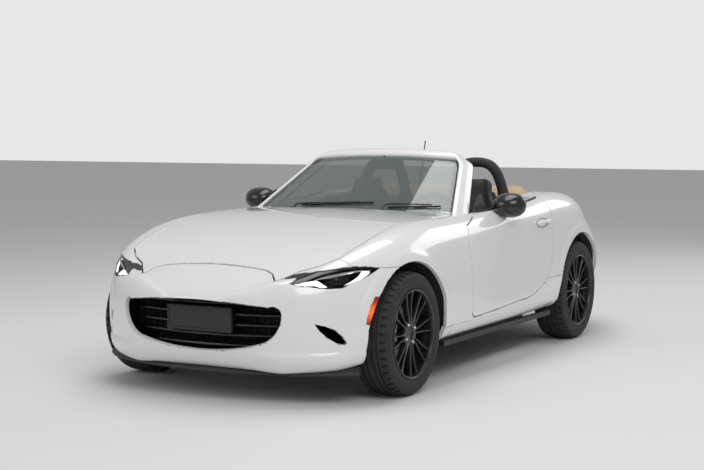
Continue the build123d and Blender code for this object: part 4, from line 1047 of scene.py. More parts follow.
class ROADSTER_OT_doors(bpy.types.Operator):
    """Door skins with their inner cards and handles"""
    bl_idname, bl_label = "roadster.doors", "Doors"

    def execute(self, context):
        shape = grown(DOOR_OUTLINE, -3.0)
        for side, word in SIDES:
            panel(f"door_skin_{word}", f"door_{word}", f"{word}_door", (2.5, 34.0),
                  ((-0.7, 0.7), span(side, 0.5, 1), (0.25, 1)), keep(shape),
                  slice_off((0, side * 0.704, 0), (0, -side, 0)))
            self.card(side, word)
            self.handle(side, word)
        return {"FINISHED"}

    def card(self, side, word):
        """Soft inner door card with an armrest."""
        rings = []
        for x, low, high in CARD_STATIONS:
            armrest = -480 < x < 260
            section = [(share, deep if deep > 690 or armrest else CARD_Y) for share, deep in CARD_SECTION]
            rings.append([(x * MM, side * y * MM, (low + (high - low) * share) * MM) for share, y in section])
        piece(f"door_card_{word}", skinned(rings), "leather", [], f"{word}_door", soft=2)

    def handle(self, side, word):
        """Outer pull handle over a dished cup."""
        grip = [(p.x * MM, side * p.y * MM, p.z * MM) for p in smooth_path(GRIP, 5)]
        bm = tube(bmesh.new(), grip, [0.010] + [0.014] * (len(grip) - 2) + [0.010], 14, flat=0.62)
        piece(f"door_handle_{word}", bm, "paint", [], f"{word}_door")
        cup = patch(((-0.6, -0.3), span(side, 0.7, 1)), keep(ring_outline(CUP_AT, CUP_WIDE, 40, CUP_TALL)))
        for v in cup.verts:
            d = math.hypot((v.co.x / MM - CUP_AT[0]) / CUP_WIDE, (v.co.z / MM - CUP_AT[1]) / CUP_TALL)
            v.co.y -= side * (CUP_DEPTH * (1 - min(d, 1) ** 2) - CUP_PROUD)
        piece(f"handle_cup_{word}", cup, "gloss_black", [], f"{word}_door")


# ---------------------------------------------------------------- windscreen
SCREEN_BASE, SCREEN_BASE_CORNER = Vector((446, 0, 868)), Vector((344, 626, 846))
SCREEN_TOP, SCREEN_TOP_CORNER = Vector((-66, 0, 1180)), Vector((-104, 462, 1158))
SCREEN_RAKE = math.atan2(312, 512)
GLASS_HALF = (626.0, 462.0)     # half widths of the glass at its base and top, in mm
FRAME_HALF = (636.0, 474.0)     # and of the frame round it
# Plan sections (x, y) of the pillar at its foot and head, and the header's (share, out from the glass).
PILLAR_FOOT = ((386, 626.6), (379, 648), (366, 661), (300, 674), (240, 680), (236, 664), (246, 646),
               (300, 627))
PILLAR_HEAD = ((-84, 462.6), (-87, 480), (-96, 493), (-150, 503), (-208, 509), (-213, 496), (-206, 480),
               (-150, 463))
HEADER = ((0.925, 17), (0.99, 20), (1.045, 14), (1.06, 2), (1.05, -14), (1.02, -20), (0.96, -21),
          (0.925, -17))


def on_screen(across, share, out=0.0, halves=GLASS_HALF):
    """A point of the screen: across from -1 to 1, share of its height, out from its face. In metres."""
    middle = SCREEN_BASE + (SCREEN_TOP - SCREEN_BASE) * share
    corner = SCREEN_BASE_CORNER + (SCREEN_TOP_CORNER - SCREEN_BASE_CORNER) * share
    back = middle - corner
    y = across * (halves[0] + (halves[1] - halves[0]) * share)
    point = Vector((middle.x - back.x * across ** 2, y, middle.z - back.z * across ** 2))
    normal = Vector((math.sin(SCREEN_RAKE), 0.30 * across, math.cos(SCREEN_RAKE))).normalized()
    return (point + normal * out) * MM


def thickened(bm, thickness):
    """Turn a sheet's faces upwards and give it a thickness."""
    face_out(bm)
    face_up(bm)
    bmesh.ops.solidify(bm, geom=bm.faces[:], thickness=thickness)
    return bm


class ROADSTER_OT_screen(bpy.types.Operator):
    """Windscreen glass with its dark border, and the painted frame round it"""
    bl_idname, bl_label = "roadster.screen", "Windscreen"

    def execute(self, context):
        bm = bmesh.new()
        bmesh.ops.create_grid(bm, x_segments=48, y_segments=24, size=0.5)
        for v in bm.verts:
            v.co = on_screen(v.co.x * 2 * 0.999, (v.co.y + 0.5) * 0.99 - 0.06)
        piece("screen_glass", thickened(bm, 0.004), "screen_glass", ["windscreen"])
        self.border()
        self.frame()
        return {"FINISHED"}

    def border(self):
        """Dark printed band on the inner face of the glass."""
        across, up = [i / 24 for i in range(25)], [i / 20 for i in range(1, 21)]
        outer = [(-0.998 + 1.996 * t, -0.055) for t in across]
        inner = [(-0.93 + 1.86 * t, 0.012 + 0.02 * abs(1 - 2 * t) ** 3) for t in across]
        outer += [(0.998, -0.055 + 0.985 * t) for t in up]
        inner += [(0.93 + 0.012 * t, 0.03 + 0.83 * t) for t in up]
        outer += [(0.998 - 1.996 * t, 0.93) for t in across[1:]]
        inner += [(0.942 - 1.884 * t, 0.86 + 0.02 * (1 - abs(1 - 2 * t) ** 4)) for t in across[1:]]
        outer += [(-0.998, 0.93 - 0.985 * t) for t in up[:-1]]
        inner += [(-0.942 + 0.012 * t, 0.86 - 0.83 * t) for t in up[:-1]]
        bm = skinned([[on_screen(u, v, -4.6) for u, v in line] for line in (outer, inner)], "open")
        face_out(bm)
        bmesh.ops.solidify(bm, geom=bm.faces[:], thickness=0.0006)
        piece("screen_border", bm, "gloss_black")

    def frame(self):
        """One tube of changing section: up a pillar, over the header and down the other pillar."""
        rings = []
        for share in (-0.13, 0.0, 0.2, 0.4, 0.6, 0.74, 0.85):
            rings.append([mm(a[0] + (b[0] - a[0]) * share, a[1] + (b[1] - a[1]) * share, 846 + 312 * share)
                          for a, b in zip(PILLAR_FOOT, PILLAR_HEAD)])
        header = [[on_screen(across, share, out, FRAME_HALF) for share, out in HEADER]
                  for across in (0.90, 0.75, 0.5, 0.25, 0.0)]
        corner = [[a.lerp(b, share) + Vector((0, 0.006, 0.006)) * (1 - abs(2 * share - 1))
                   for a, b in zip(rings[-1], header[0])] for share in (0.35, 0.7)]
        half = rings + corner + header
        whole = half + [[Vector((p.x, -p.y, p.z)) for p in ring] for ring in reversed(half[:-1])]
        piece("screen_frame", skinned(whole), "paint", ["windscreen_frame"], soft=2)
        bm = bmesh.new()
        for side in (1, -1):
            path = [on_screen(side, share, -24) + Vector((-0.10, side * 0.012, 0.0))
                    for share in (0.02, 0.3, 0.6, 0.86)]
            tube(bm, smooth_path(path, 4), 0.009, 8)
        piece("pillar_seals", bm, "trim")


# Wipers: side, word, y of the pivot (mm), share of the glass at the first bend, then the tip (across, share).
WIPERS = ((1, "left", 250, 0.08, (0.80, 0.10)), (-1, "right", -330, 0.05, (0.12, 0.085)))
WIPER_HALF = 640                # half width of the glass that the wipers reckon with, in mm
WIPER_RADII = [0.008] * 5 + [0.006] * 6 + [0.0045] * 5      # along the arm's curve, in metres
WIPER_CAP = ((1, 0), (1, 0.5), (0.8, 0.85), (0.35, 1))      # shares of the cap's radius and height


class ROADSTER_OT_cowl(bpy.types.Operator):
    """Cowl panel with its wipers"""
    bl_idname, bl_label = "roadster.cowl", "Cowl and wipers"

    def execute(self, context):
        for side, word, pivot, bend, tip in WIPERS:
            base = mm(478, pivot, 853)
            first, last = on_screen(pivot / WIPER_HALF, bend, 12), on_screen(*tip, 14)
            arm = [base, base.lerp(first, 0.6) + Vector((0, 0, 0.012)), first.lerp(last, 0.25), last]
            bm = tube(bmesh.new(), smooth_path(arm, 5), WIPER_RADII, 10, flat=0.6)
            start, reach = first.y / MM / WIPER_HALF, (last.y - first.y) / MM / WIPER_HALF
            blade = [on_screen(start + reach * t + side * 0.02, 0.03 + 0.055 * t, 8)
                     for t in (0.05, 0.4, 0.8, 1.25)]
            tube(bm, smooth_path(blade, 5), 0.005, 8, flat=0.9)
            cap = skinned([disc_ring(0.016 * r, 0.022 * h, 14) for r, h in WIPER_CAP])
            piece(f"wiper_{word}", added(bm, cap, Matrix.Translation(base)), "trim")
        rail = [(0.47 - 0.11 * t * t, 0.60 * t, 0.852 - 0.016 * t * t) for t in (k / 6 for k in range(-6, 7))]
        piece("cowl_seal", tube(bmesh.new(), smooth_path(rail, 3), 0.008, 8), "trim")
        use_finish("cowl", "trim")
        return {"FINISHED"}


# ---------------------------------------------------------------- lamps and mouth
PROJECTOR = Vector((1.663, 0.602, 0.598))
PROJECTOR_BACK = 0.032          # how far it is set back along its own axis
INNER_WEDGE = [(1812, 591), (1794, 596), (1756, 605), (1742, 608), (1733, 584), (1727, 575), (1748, 576),
               (1760, 586), (1800, 588)]
OUTER_WEDGE = [(1574, 641), (1538, 640), (1541, 632), (1585, 608), (1623, 595), (1668, 578), (1622, 604),
               (1594, 622)]
BROW = [(1826, 590), (1795, 606), (1750, 626), (1704, 646), (1629, 662), (1588, 664), (1548, 662),
        (1478, 652), (1500, 650), (1560, 654), (1590, 655), (1630, 652), (1700, 634), (1750, 613),
        (1795, 593)]
STRIP = [(1745, 610), (1703, 626), (1644, 640), (1588, 648), (1528, 645), (1532, 640), (1573, 643),
         (1601, 639), (1641, 631), (1707, 615)]
# Lamp pieces cut from the form: name, outline, depth, how far the rim is turned in, finish, slot.
LAMP_PIECES = (
    ("lamp_brow", BROW, 3, 5, "gloss_black", "gloss_black"),
    ("light_guide_inner", INNER_WEDGE, 9, 8, "lamp_light", None),
    ("light_guide_outer", OUTER_WEDGE, 9, 8, "lamp_light", None),
    ("lamp_strip", STRIP, 7, 6, "chrome", None),
)
PROJECTOR_RING = [(0.032, -0.02), (0.032, 0.006), (0.0305, 0.009), (0.0275, 0.008), (0.0265, 0.0),
                  (0.0265, -0.02)]
PROJECTOR_DOME = [(0.0001, -0.02), (0.026, -0.02), (0.026, -0.004), (0.022, 0.003), (0.014, 0.007),
                  (0.0001, 0.009)]


class ROADSTER_OT_headlamps(bpy.types.Operator):
    """Headlamps: dark bowl, light guides, projector and clear lens"""
    bl_idname, bl_label = "roadster.headlamps", "Headlamps"

    def execute(self, context):
        for side, word in SIDES:
            node = ["headlamps"] if side > 0 else []
            bowl = turn_out(self.lamp_patch(side, grown(LAMP_OUTLINE, -1.5), 60), 59.0)
            piece(f"lamp_bowl_{word}", bowl, "gloss_black", node)
            piece(f"lamp_lens_{word}", self.lamp_patch(side, LAMP_OUTLINE, 0.6), "lens", node)
            for name, outline, depth, thick, finish, slot in LAMP_PIECES:
                form = turn_in(self.lamp_patch(side, outline, depth), 0.6, thick)
                piece(f"{name}_{word}", form, finish)
            face = Vector((0.86, 0.50 * side, 0.10)).normalized()
            place = Vector((PROJECTOR.x, PROJECTOR.y * side, PROJECTOR.z)) - face * PROJECTOR_BACK
            ring, dome = [added(bmesh.new(), turned(profile, steps), pointed(place, face))
                          for profile, steps in ((PROJECTOR_RING, 48), (PROJECTOR_DOME, 40))]
            piece(f"projector_ring_{word}", ring, "chrome")
            piece(f"projector_dome_{word}", dome, "gloss_black")
        return {"FINISHED"}

    def lamp_patch(self, side, outline, depth):
        """The outer form inside an outline of one lamp, set back by a depth (mm)."""
        return patch(((1.4, 1.9), span(side, LAMP_INNER, 0.8), (0.54, 0.68)), keep(outline), sink(depth),
                     cut(grown(HOOD_OUTLINE, SHUT), PLAN))


SLATS = ((281, 285), (331, 410), (381, 437), (431, 452), (481, 405))      # height and half width, in mm
SLAT_SECTION = ((-4, 8), (0, 6), (2, 0), (-2, -6), (-16, -9), (-40, -8), (-44, 0), (-30, 7))
# The mouth's wall, ring by ring: set back (m), share of its width, share of its height round the middle.
MOUTH_MIDDLE, MOUTH_WALL = 0.38, ((0.016, 1, 1), (0.045, 0.985, 0.97), (0.110, 0.975, 0.95))
CHIN_LINE = [(1.872, 0, 0), (1.854, 0.25, 0), (1.806, 0.446, 0), (1.748, 0.59, 0), (1.69, 0.675, 0),
             (1.62, 0.745, 0)]
CHIN_SECTION = ((0.004, 0.146), (0.0, 0.152), (0.003, 0.158), (0.018, 0.166), (0.030, 0.182), (0.075, 0.186),
                (0.080, 0.158), (0.070, 0.145))


class ROADSTER_OT_mouth(bpy.types.Operator):
    """Grille with its slats and bare plate carrier, fog slots, chin and markers"""
    bl_idname, bl_label = "roadster.mouth", "Grille and lower front"

    def execute(self, context):
        self.grille()
        self.plate_carrier()
        self.surround()
        for side, word in SIDES:
            slot = patch(((1.5, 1.9), span(side, 0.5, 0.8), (0.25, 0.45)),
                         keep(grown(sided(FOG_OUTLINE, side), 4), FRONT), sink(22))
            piece(f"fog_pocket_{word}", turn_out(slot, 20.0), "gloss_black")
            lens = patch(((1.4, 1.65), span(side, 0.6, 0.9), (0.35, 0.55)), keep(grown(MARKER_OUTLINE, -1.5)),
                         cut(FRONT_ARCH))
            node = ["side_markers"] if side > 0 else []
            piece(f"marker_lens_{word}", turn_in(lens, 2.0, 12.0), "marker", node)
        self.chin()
        return {"FINISHED"}

    def grille(self):
        """Bowed slats, and the mesh behind them."""
        bm = bmesh.new()
        for z, half in SLATS:
            rings = []
            for y in (half * (k / 12) for k in range(-12, 13)):
                x = 1872 - 78 * (y / 470) ** 2
                rings.append([mm(x + dx, y, z + dz) for dx, dz in SLAT_SECTION])
            skin_over(bm, rings)
        piece("grille_slats", bm, "gloss_black", ["grille"])
        bm = bmesh.new()
        for z in range(262, 500, 12):
            block(bm, (1.772, -0.43, (z - 2) * MM), (1.790, 0.43, (z + 2) * MM), 0.0015, 1)
        for y in range(-420, 421, 40):
            block(bm, (1.770, (y - 2.5) * MM, 0.258), (1.788, (y + 2.5) * MM, 0.492), 0.0015, 1)
        piece("grille_mesh", block(bm, (1.760, -0.455, 0.252), (1.768, 0.455, 0.500), 0.002, 1), "trim")

    def plate_carrier(self):
        """The bare carrier of the front plate, on two stays."""
        bm = block(bmesh.new(), (1.868, -0.188, 0.342), (1.893, 0.188, 0.468), 0.009, 3)
        front = [f for f in bm.faces if f.normal.x > 0.99]
        inset = bmesh.ops.inset_region(bm, faces=front, thickness=0.008, depth=0.0)
        front = [f for f in bm.faces if f.normal.x > 0.99 and f not in inset["faces"]]
        bmesh.ops.inset_region(bm, faces=front, thickness=0.002, depth=-0.003)
        for y in (-0.15, 0.15):
            block(bm, (1.80, y - 0.012, 0.36), (1.872, y + 0.012, 0.45), 0.004, 2)
        piece("plate_carrier", bm, "trim", sharp=35)

    def surround(self):
        """The wall round the mouth, which follows the nose's bow."""
        rim = [mm(1886 - 70 * (y / 457) ** 2, y, z) for y, z in GRILLE_OUTLINE]
        rings = [[Vector((p.x - back, p.y * wide, MOUTH_MIDDLE + (p.z - MOUTH_MIDDLE) * tall)) for p in rim]
                 for back, wide, tall in MOUTH_WALL]
        piece("grille_surround", skinned(rings, "open"), "gloss_black")

    def chin(self):
        """The lip under the nose."""
        half = [(p.x, p.y) for p in smooth_path(CHIN_LINE, 5)]
        rings = []
        for x, y in [(x, -y) for x, y in reversed(half[1:])] + half:
            inwards = Vector((-1, -0.55 * y / 0.75, 0)).normalized()
            rings.append([Vector((x, y, 0)) + inwards * d + Vector((0, 0, z)) for d, z in CHIN_SECTION])
        piece("chin_lip", skinned(rings), "trim", ["chin_spoiler"])


# ---------------------------------------------------------------- wheels
# Profiles are closed lists of (radius, along the axis), in metres.
TRACKS = {"front": (FRONT_AXLE, 747.5), "rear": (REAR_AXLE, 752.5)}
SPOKE_PAIRS, TYRE_STEPS = 8, 144
GROOVE = ((0.3078, -0.005), (0.3010, -0.0042), (0.3010, 0.0042), (0.3076, 0.005))
TREAD = [(0.3080, 0.0), (0.3080, 0.0035)] + [(r, at + a) for at in (0.018, 0.046) for r, a in GROOVE]
TYRE_WALL = [(0.3070, 0.060), (0.3058, 0.068), (0.3040, 0.074), (0.3005, 0.084), (0.2975, 0.0895),
             (0.293, 0.0935), (0.289, 0.0950), (0.288, 0.0962), (0.285, 0.0966), (0.274, 0.0994),
             (0.262, 0.1008), (0.250, 0.1004), (0.238, 0.0982), (0.230, 0.0950), (0.2262, 0.0930),
             (0.2225, 0.0915), (0.2185, 0.0890), (0.2185, 0.080)]
RIM = [(0.2235, 0.0915), (0.2238, 0.0955), (0.2225, 0.0975), (0.2185, 0.0978), (0.2135, 0.0950),
       (0.2110, 0.0900), (0.2090, 0.0800), (0.2075, 0.0550), (0.1990, 0.0380), (0.1960, 0.0),
       (0.1990, -0.0600), (0.2080, -0.0900), (0.2130, -0.0970), (0.2225, -0.0975), (0.2235, -0.0915),
       (0.2175, -0.0885), (0.2175, -0.0700), (0.2080, -0.0300), (0.2080, 0.0300), (0.2175, 0.0700),
       (0.2175, 0.0885)]
HUB = [(0.0001, 0.058), (0.030, 0.058), (0.031, 0.070), (0.036, 0.0755), (0.060, 0.0745), (0.066, 0.070),
       (0.068, 0.058), (0.066, 0.030), (0.0001, 0.030)]
# Arm stations, in mm: distance from the axle, offset, half width, height of its face, depth.
ARM_STATIONS = ((45, 5, 8.5, 74, 34), (62, 9, 7.5, 79, 32), (85, 12, 6.2, 80, 28), (115, 16, 5.6, 79, 25),
                (150, 21.5, 5.4, 79, 23), (185, 28.0, 6.0, 82, 23), (203, 32.0, 7.5, 85, 26),
                (208.5, 33.0, 9.0, 86, 29))
NUT_POCKET = [(0.0125, -0.001), (0.0135, 0.0015), (0.0150, 0.0022), (0.0165, 0.0012), (0.0165, -0.001)]
DISC = [(0.078, -0.009), (0.140, -0.009), (0.140, -0.017), (0.0785, -0.017), (0.0785, -0.023),
        (0.140, -0.023), (0.140, -0.031), (0.076, -0.031), (0.070, -0.010), (0.070, 0.028), (0.0001, 0.028),
        (0.0001, 0.032), (0.073, 0.032), (0.078, 0.028)]
CAP = [(0.0001, 0.070), (0.012, 0.0698), (0.022, 0.0685), (0.0265, 0.0668), (0.0285, 0.0688), (0.030, 0.0700),
       (0.0305, 0.066), (0.030, 0.058), (0.0001, 0.058)]


def build_tyre():
    """A tyre about the Y axis: grooves round it, blocks on its shoulders, a bead that seats on the rim."""
    half = TREAD + TYRE_WALL
    bm = turned(half + [(r, -a) for r, a in reversed(half[1:])], TYRE_STEPS, "Y")
    sipes = []
    for f in bm.faces:
        c = f.calc_center_median()
        step = int(round(math.atan2(c.z, c.x) / math.tau * TYRE_STEPS + 0.5 * (c.y > 0)))
        if 0.0585 < abs(c.y) < 0.0905 and math.hypot(c.x, c.z) > 0.29 and step % 3 == 0:
            sipes.append(f)
    bmesh.ops.inset_individual(bm, faces=sipes, thickness=0.0012, depth=-0.0045)
    return bm


def arm(angle, lean):
    """One arm of a pair: narrow, ridged, from the hub to the rim."""
    rings = []
    for r, off, wide, z, deep in ARM_STATIONS:
        section = ((-1, -deep), (-0.95, -6), (-0.45, 0), (0.45, 0), (0.95, -6), (1, -deep))
        rings.append([mm(r, lean * off + wide * side, z + down) for side, down in section])
    bm = skinned(rings)
    bmesh.ops.rotate(bm, verts=bm.verts[:], cent=(0, 0, 0), matrix=Matrix.Rotation(angle, 3, "Z"))
    return bm


def build_rim():
    """A rim about the Z axis with its outer face at +Z: barrel, sixteen arms and hub."""
    bm = turned(RIM, 96)
    for k in range(SPOKE_PAIRS):
        for lean in (1, -1):
            added(bm, arm(math.tau * k / SPOKE_PAIRS + 0.12, lean))
    return added(bm, turned(HUB, 48))


def build_wheel_metal():
    """What shines inside the wheel: nuts in their pockets, and the brake disc."""
    bm = bmesh.new()
    for k in range(4):
        a = math.tau * k / 4 + 0.5
        nut = skinned([disc_ring(r, z, 6) for z, r in ((0, 0.0095), (0.006, 0.0095), (0.0085, 0.0075))])
        added(nut, turned(NUT_POCKET, 24))
        added(bm, nut, Matrix.Translation((0.050 * math.cos(a), 0.050 * math.sin(a), 0.0725)))
    return added(bm, turned(DISC, 72))


def build_valve():
    """The tyre's valve stem."""
    foot = Vector((0.196, 0.0, 0.055))
    stem = [foot, foot + Vector((-0.012, 0, 0.018)), foot + Vector((-0.020, 0, 0.026))]
    return tube(bmesh.new(), stem, [0.0045, 0.004, 0.0035], 10)


class ROADSTER_OT_wheels(bpy.types.Operator):
    """Four wheels with tyres and brake discs"""
    bl_idname, bl_label = "roadster.wheels", "Wheels"

    def execute(self, context):
        for end, (x, y) in TRACKS.items():
            for side, word in SIDES:
                centre = Matrix.Translation(mm(x, side * y, WHEEL_Z))
                out = centre @ Matrix.Rotation(-side * math.pi / 2, 4, "X")
                where = f"{end}_{word}"
                for name, form, place, finish, nodes, slot, sharp in (
                        (f"tyre_tread_{where}", build_tyre(), centre, "rubber", [f"tyre_{where}"], None, 30),
                        (f"wheel_{where}_arms", build_rim(), out, "wheel_black", [f"rim_{where}"], None, 30),
                        (f"wheel_{where}_nuts_and_disc", build_wheel_metal(), out, "steel", [], None, 30),
                        (f"wheel_{where}_cap", turned(CAP, 40), out, "gloss_black", [], "wheel_black", 0),
                        (f"wheel_{where}_valve", build_valve(), out @ Matrix.Rotation(0.32, 4, "Z"), "rubber",
                         [], None, 0)):
                    made = added(bmesh.new(), form, place)
                    piece(name, made, finish, nodes, f"{where}_wheel", sharp=sharp)
        return {"FINISHED"}


# ---------------------------------------------------------------- mirrors and belt
MIRROR_AT = (28, 832, 889)
# Mirror shell, in mm: x from its middle, half width, half height, shift inwards, shift up.
MIRROR_STATIONS = ((-20, 92, 64, 0, 0), (-16, 97, 69, 0, 0), (4, 98, 71, -1, 0), (34, 92, 66, -4, -1),
                   (60, 75, 54, -9, -2), (80, 50, 37, -14, -4), (90, 25, 18, -18, -6))
# Mirror foot, in mm: x, y, z, half width, half depth.
FOOT_STATIONS = ((48, 812, 846, 26, 14), (58, 796, 826, 27, 13), (74, 776, 808, 34, 12),
                 (92, 757, 796, 46, 13), (100, 744, 784, 54, 15))
BELT = ((250, 706), (150, 722), (0, 735), (-200, 741), (-400, 744), (-570, 742))
# Fixed sail in front of the side window, in mm: x, y, then its lower and upper edge.
SAIL_STATIONS = ((232, 690, 838, 850), (180, 702, 846, 905), (120, 708, 852, 948), (100, 710, 853, 950),
                 (92, 712, 853, 950))
SAIL_THICK, SAIL_LEAN, SAIL_BACK = 7, 0.36, 8


class ROADSTER_OT_mirrors(bpy.types.Operator):
    """Door mirrors: gloss cap, dark foot and glass, with the belt seals and sails"""
    bl_idname, bl_label = "roadster.mirrors", "Door mirrors"

    def execute(self, context):
        x, y, z = MIRROR_AT
        for side, word in SIDES:
            door = f"{word}_door"
            shell = [oval(mm(x + dx, side * (y + dy), z + dz), mm(0.10 * wide, side * wide, 0),
                          mm(0, 0, tall), 28, 2.35) for dx, wide, tall, dy, dz in MIRROR_STATIONS]
            piece(f"mirror_cap_{word}", skinned(shell), "gloss_black", [f"mirror_{word}"], door, soft=1)
            glass = [oval(mm(at, side * y, z), mm(0, side * 90, 0), mm(0, 0, 62), 28, 2.5) for at in (6, 4.5)]
            piece(f"mirror_glass_{word}", skinned(glass), "mirror_glass", [], door)
            foot = [oval(mm(fx, side * fy, fz), mm(wide, side * -0.2 * wide, -0.35 * wide),
                         mm(0, side * deep * 0.8, deep * 0.7), 16, 2.4)
                    for fx, fy, fz, wide, deep in FOOT_STATIONS]
            piece(f"mirror_foot_{word}", skinned(foot), "trim", [], door, soft=1)
            belt = smooth_path([on_top(bx, side * by) + Vector((0, 0, 0.003)) for bx, by in BELT], 6)
            piece(f"belt_seal_{word}", tube(bmesh.new(), belt, 0.008, 10, flat=0.9), "trim", [], door)
            sail = []
            for sx, inner, low, high in SAIL_STATIONS:
                lean, outer = (high - low) * SAIL_LEAN, inner + SAIL_THICK
                sail.append([mm(sx, side * inner, low), mm(sx, side * outer, low),
                             mm(sx - SAIL_BACK, side * (outer - lean), high),
                             mm(sx - SAIL_BACK, side * (inner - lean), high)])
            piece(f"sail_panel_{word}", skinned(sail), "trim", [], door, smooth=False)
        return {"FINISHED"}


TREE = []


def on_top(x, y):
    """The point of the outer form straight above (x, y), given in mm."""
    if not TREE:
        bm = skin()
        TREE.append(BVHTree.FromBMesh(bm))
        bm.free()
    return TREE[0].ray_cast(mm(x, y, 2000), Vector((0, 0, -1)))[0]


# ---------------------------------------------------------------- cabin
SEAT_Y, SEAT_FILL = 0.375, 0.5
# Seat stations, in metres: x, z, half width, depth.
CUSHION = ((0.128, 0.352, 0.200, 0.045), (0.125, 0.385, 0.212, 0.050), (0.06, 0.372, 0.216, 0.058),
           (-0.08, 0.352, 0.216, 0.062), (-0.22, 0.338, 0.214, 0.066), (-0.34, 0.335, 0.205, 0.064))
BACK = ((-0.355, 0.355, 0.195, 0.055), (-0.372, 0.42, 0.214, 0.064), (-0.398, 0.52, 0.216, 0.068),
        (-0.428, 0.63, 0.214, 0.066), (-0.458, 0.74, 0.204, 0.060), (-0.484, 0.835, 0.176, 0.052),
        (-0.503, 0.885, 0.130, 0.046), (-0.516, 0.925, 0.110, 0.044), (-0.529, 0.975, 0.112, 0.044),
        (-0.540, 1.008, 0.088, 0.034))
BACK_LEAN = Vector((0.97, 0, 0.24))
# Rear shell of the seat: x, z, half width. Runners and stays: x span, half width, z span.
SHELL = ((-0.455, 0.30, 0.19), (-0.475, 0.45, 0.205), (-0.52, 0.65, 0.20), (-0.555, 0.82, 0.165),
         (-0.574, 0.93, 0.10))
STAYS = ((-0.50, 0.08, 0.018, 0.1823, 0.20), (-0.44, -0.36, 0.014, 0.20, 0.315),
         (0.00, 0.07, 0.014, 0.20, 0.335))
SEAM = ((0.11, 0.412), (0.0, 0.397), (-0.15, 0.383), (-0.28, 0.372))


def pad_section(centre, across, up, crown, bolster, count=24):
    """A closed section of a seat: flat behind, crowned in the middle, raised at its bolsters."""
    out = []
    for t in (i / count for i in range(count)):
        u, rise = (1 - 4 * t, 1.0) if t < 0.5 else (-1 + 4 * (t - 0.5), -0.3)
        if t < 0.5:
            edge = max(0, abs(u) - 0.55) ** 1.2 * 3.2
            rise += crown * (1 - u * u) + bolster * edge * (1 if abs(u) < 0.96 else 0.6)
        out.append(Vector(centre) + Vector(across) * u + Vector(up) * rise)
    return out


class ROADSTER_OT_seats(bpy.types.Operator):
    """Two bucket seats in black leather"""
    bl_idname, bl_label = "roadster.seats", "Seats"

    def execute(self, context):
        for side, word in SIDES:
            middle = side * SEAT_Y
            pads = (("cushion", [pad_section((x, middle, z - 0.03), (0, half, 0), (0, 0, deep), 0.18, 0.9)
                                 for x, z, half, deep in CUSHION]),
                    ("back", [pad_section((x - 0.03, middle, z), (0, half, 0), BACK_LEAN * deep, 0.16, 0.95)
                              for x, z, half, deep in BACK]))
            for name, rings in pads:
                pad = piece(f"seat_{name}_{word}", skinned(rings), "leather", [f"seat_{word}"],
                            soft=2)
            bm = bmesh.new()
            for y in (middle - 0.18, middle + 0.18):
                for x0, x1, half, z0, z1 in STAYS:
                    block(bm, (x0, y - half, z0), (x1, y + half, z1), 0.004, 2)
            block(bm, (-0.46, middle - 0.20, 0.27), (0.09, middle + 0.20, 0.315), 0.012, 3)
            added(bm, skinned([oval((x, middle, z), (0, half, 0), (0.022, 0, 0.006), 20, 2.6)
                               for x, z, half in SHELL]))
            piece(f"seat_frame_{word}", bm, "cabin_plastic", sharp=35)
            bm = bmesh.new()
            for y in (middle - 0.108, middle + 0.108):
                tube(bm, smooth_path([(x, y, z) for x, z in SEAM], 5), 0.0022, 6)
            piece(f"seat_seams_{word}", bm, "cabin_plastic")
        return {"FINISHED"}


# Dashboard stations, in mm: y, how much the top is lifted, how far it is set back.
DASH = ((-620, -8, 30), (-560, 0, 8), (-380, 2, 0), (-150, 4, 0), (0, 4, -4), (150, 6, 0), (235, 10, 2),
        (290, 34, 6), (365, 46, 6), (440, 34, 6), (495, 10, 4), (560, 0, 8), (620, -8, 30))
# Console stations, in mm: x, height, half width. It stands on the tunnel at CONSOLE_Z.
CONSOLE = ((60, 610, 92), (20, 560, 98), (-40, 515, 100), (-140, 498, 98), (-300, 504, 95), (-420, 512, 92),
           (-556, 508, 88))
CONSOLE_Z = 402
VENT = [(0.040, -0.01), (0.040, 0.006), (0.036, 0.010), (0.031, 0.006), (0.030, -0.01)]
DIAL = [(0.0001, 0.0), (0.034, 0.0), (0.036, 0.004), (0.038, 0.0), (0.038, -0.012), (0.0001, -0.012)]
KNOB = [(0.0001, -0.02), (0.016, -0.018), (0.024, 0.0), (0.022, 0.016), (0.012, 0.026), (0.0001, 0.028)]


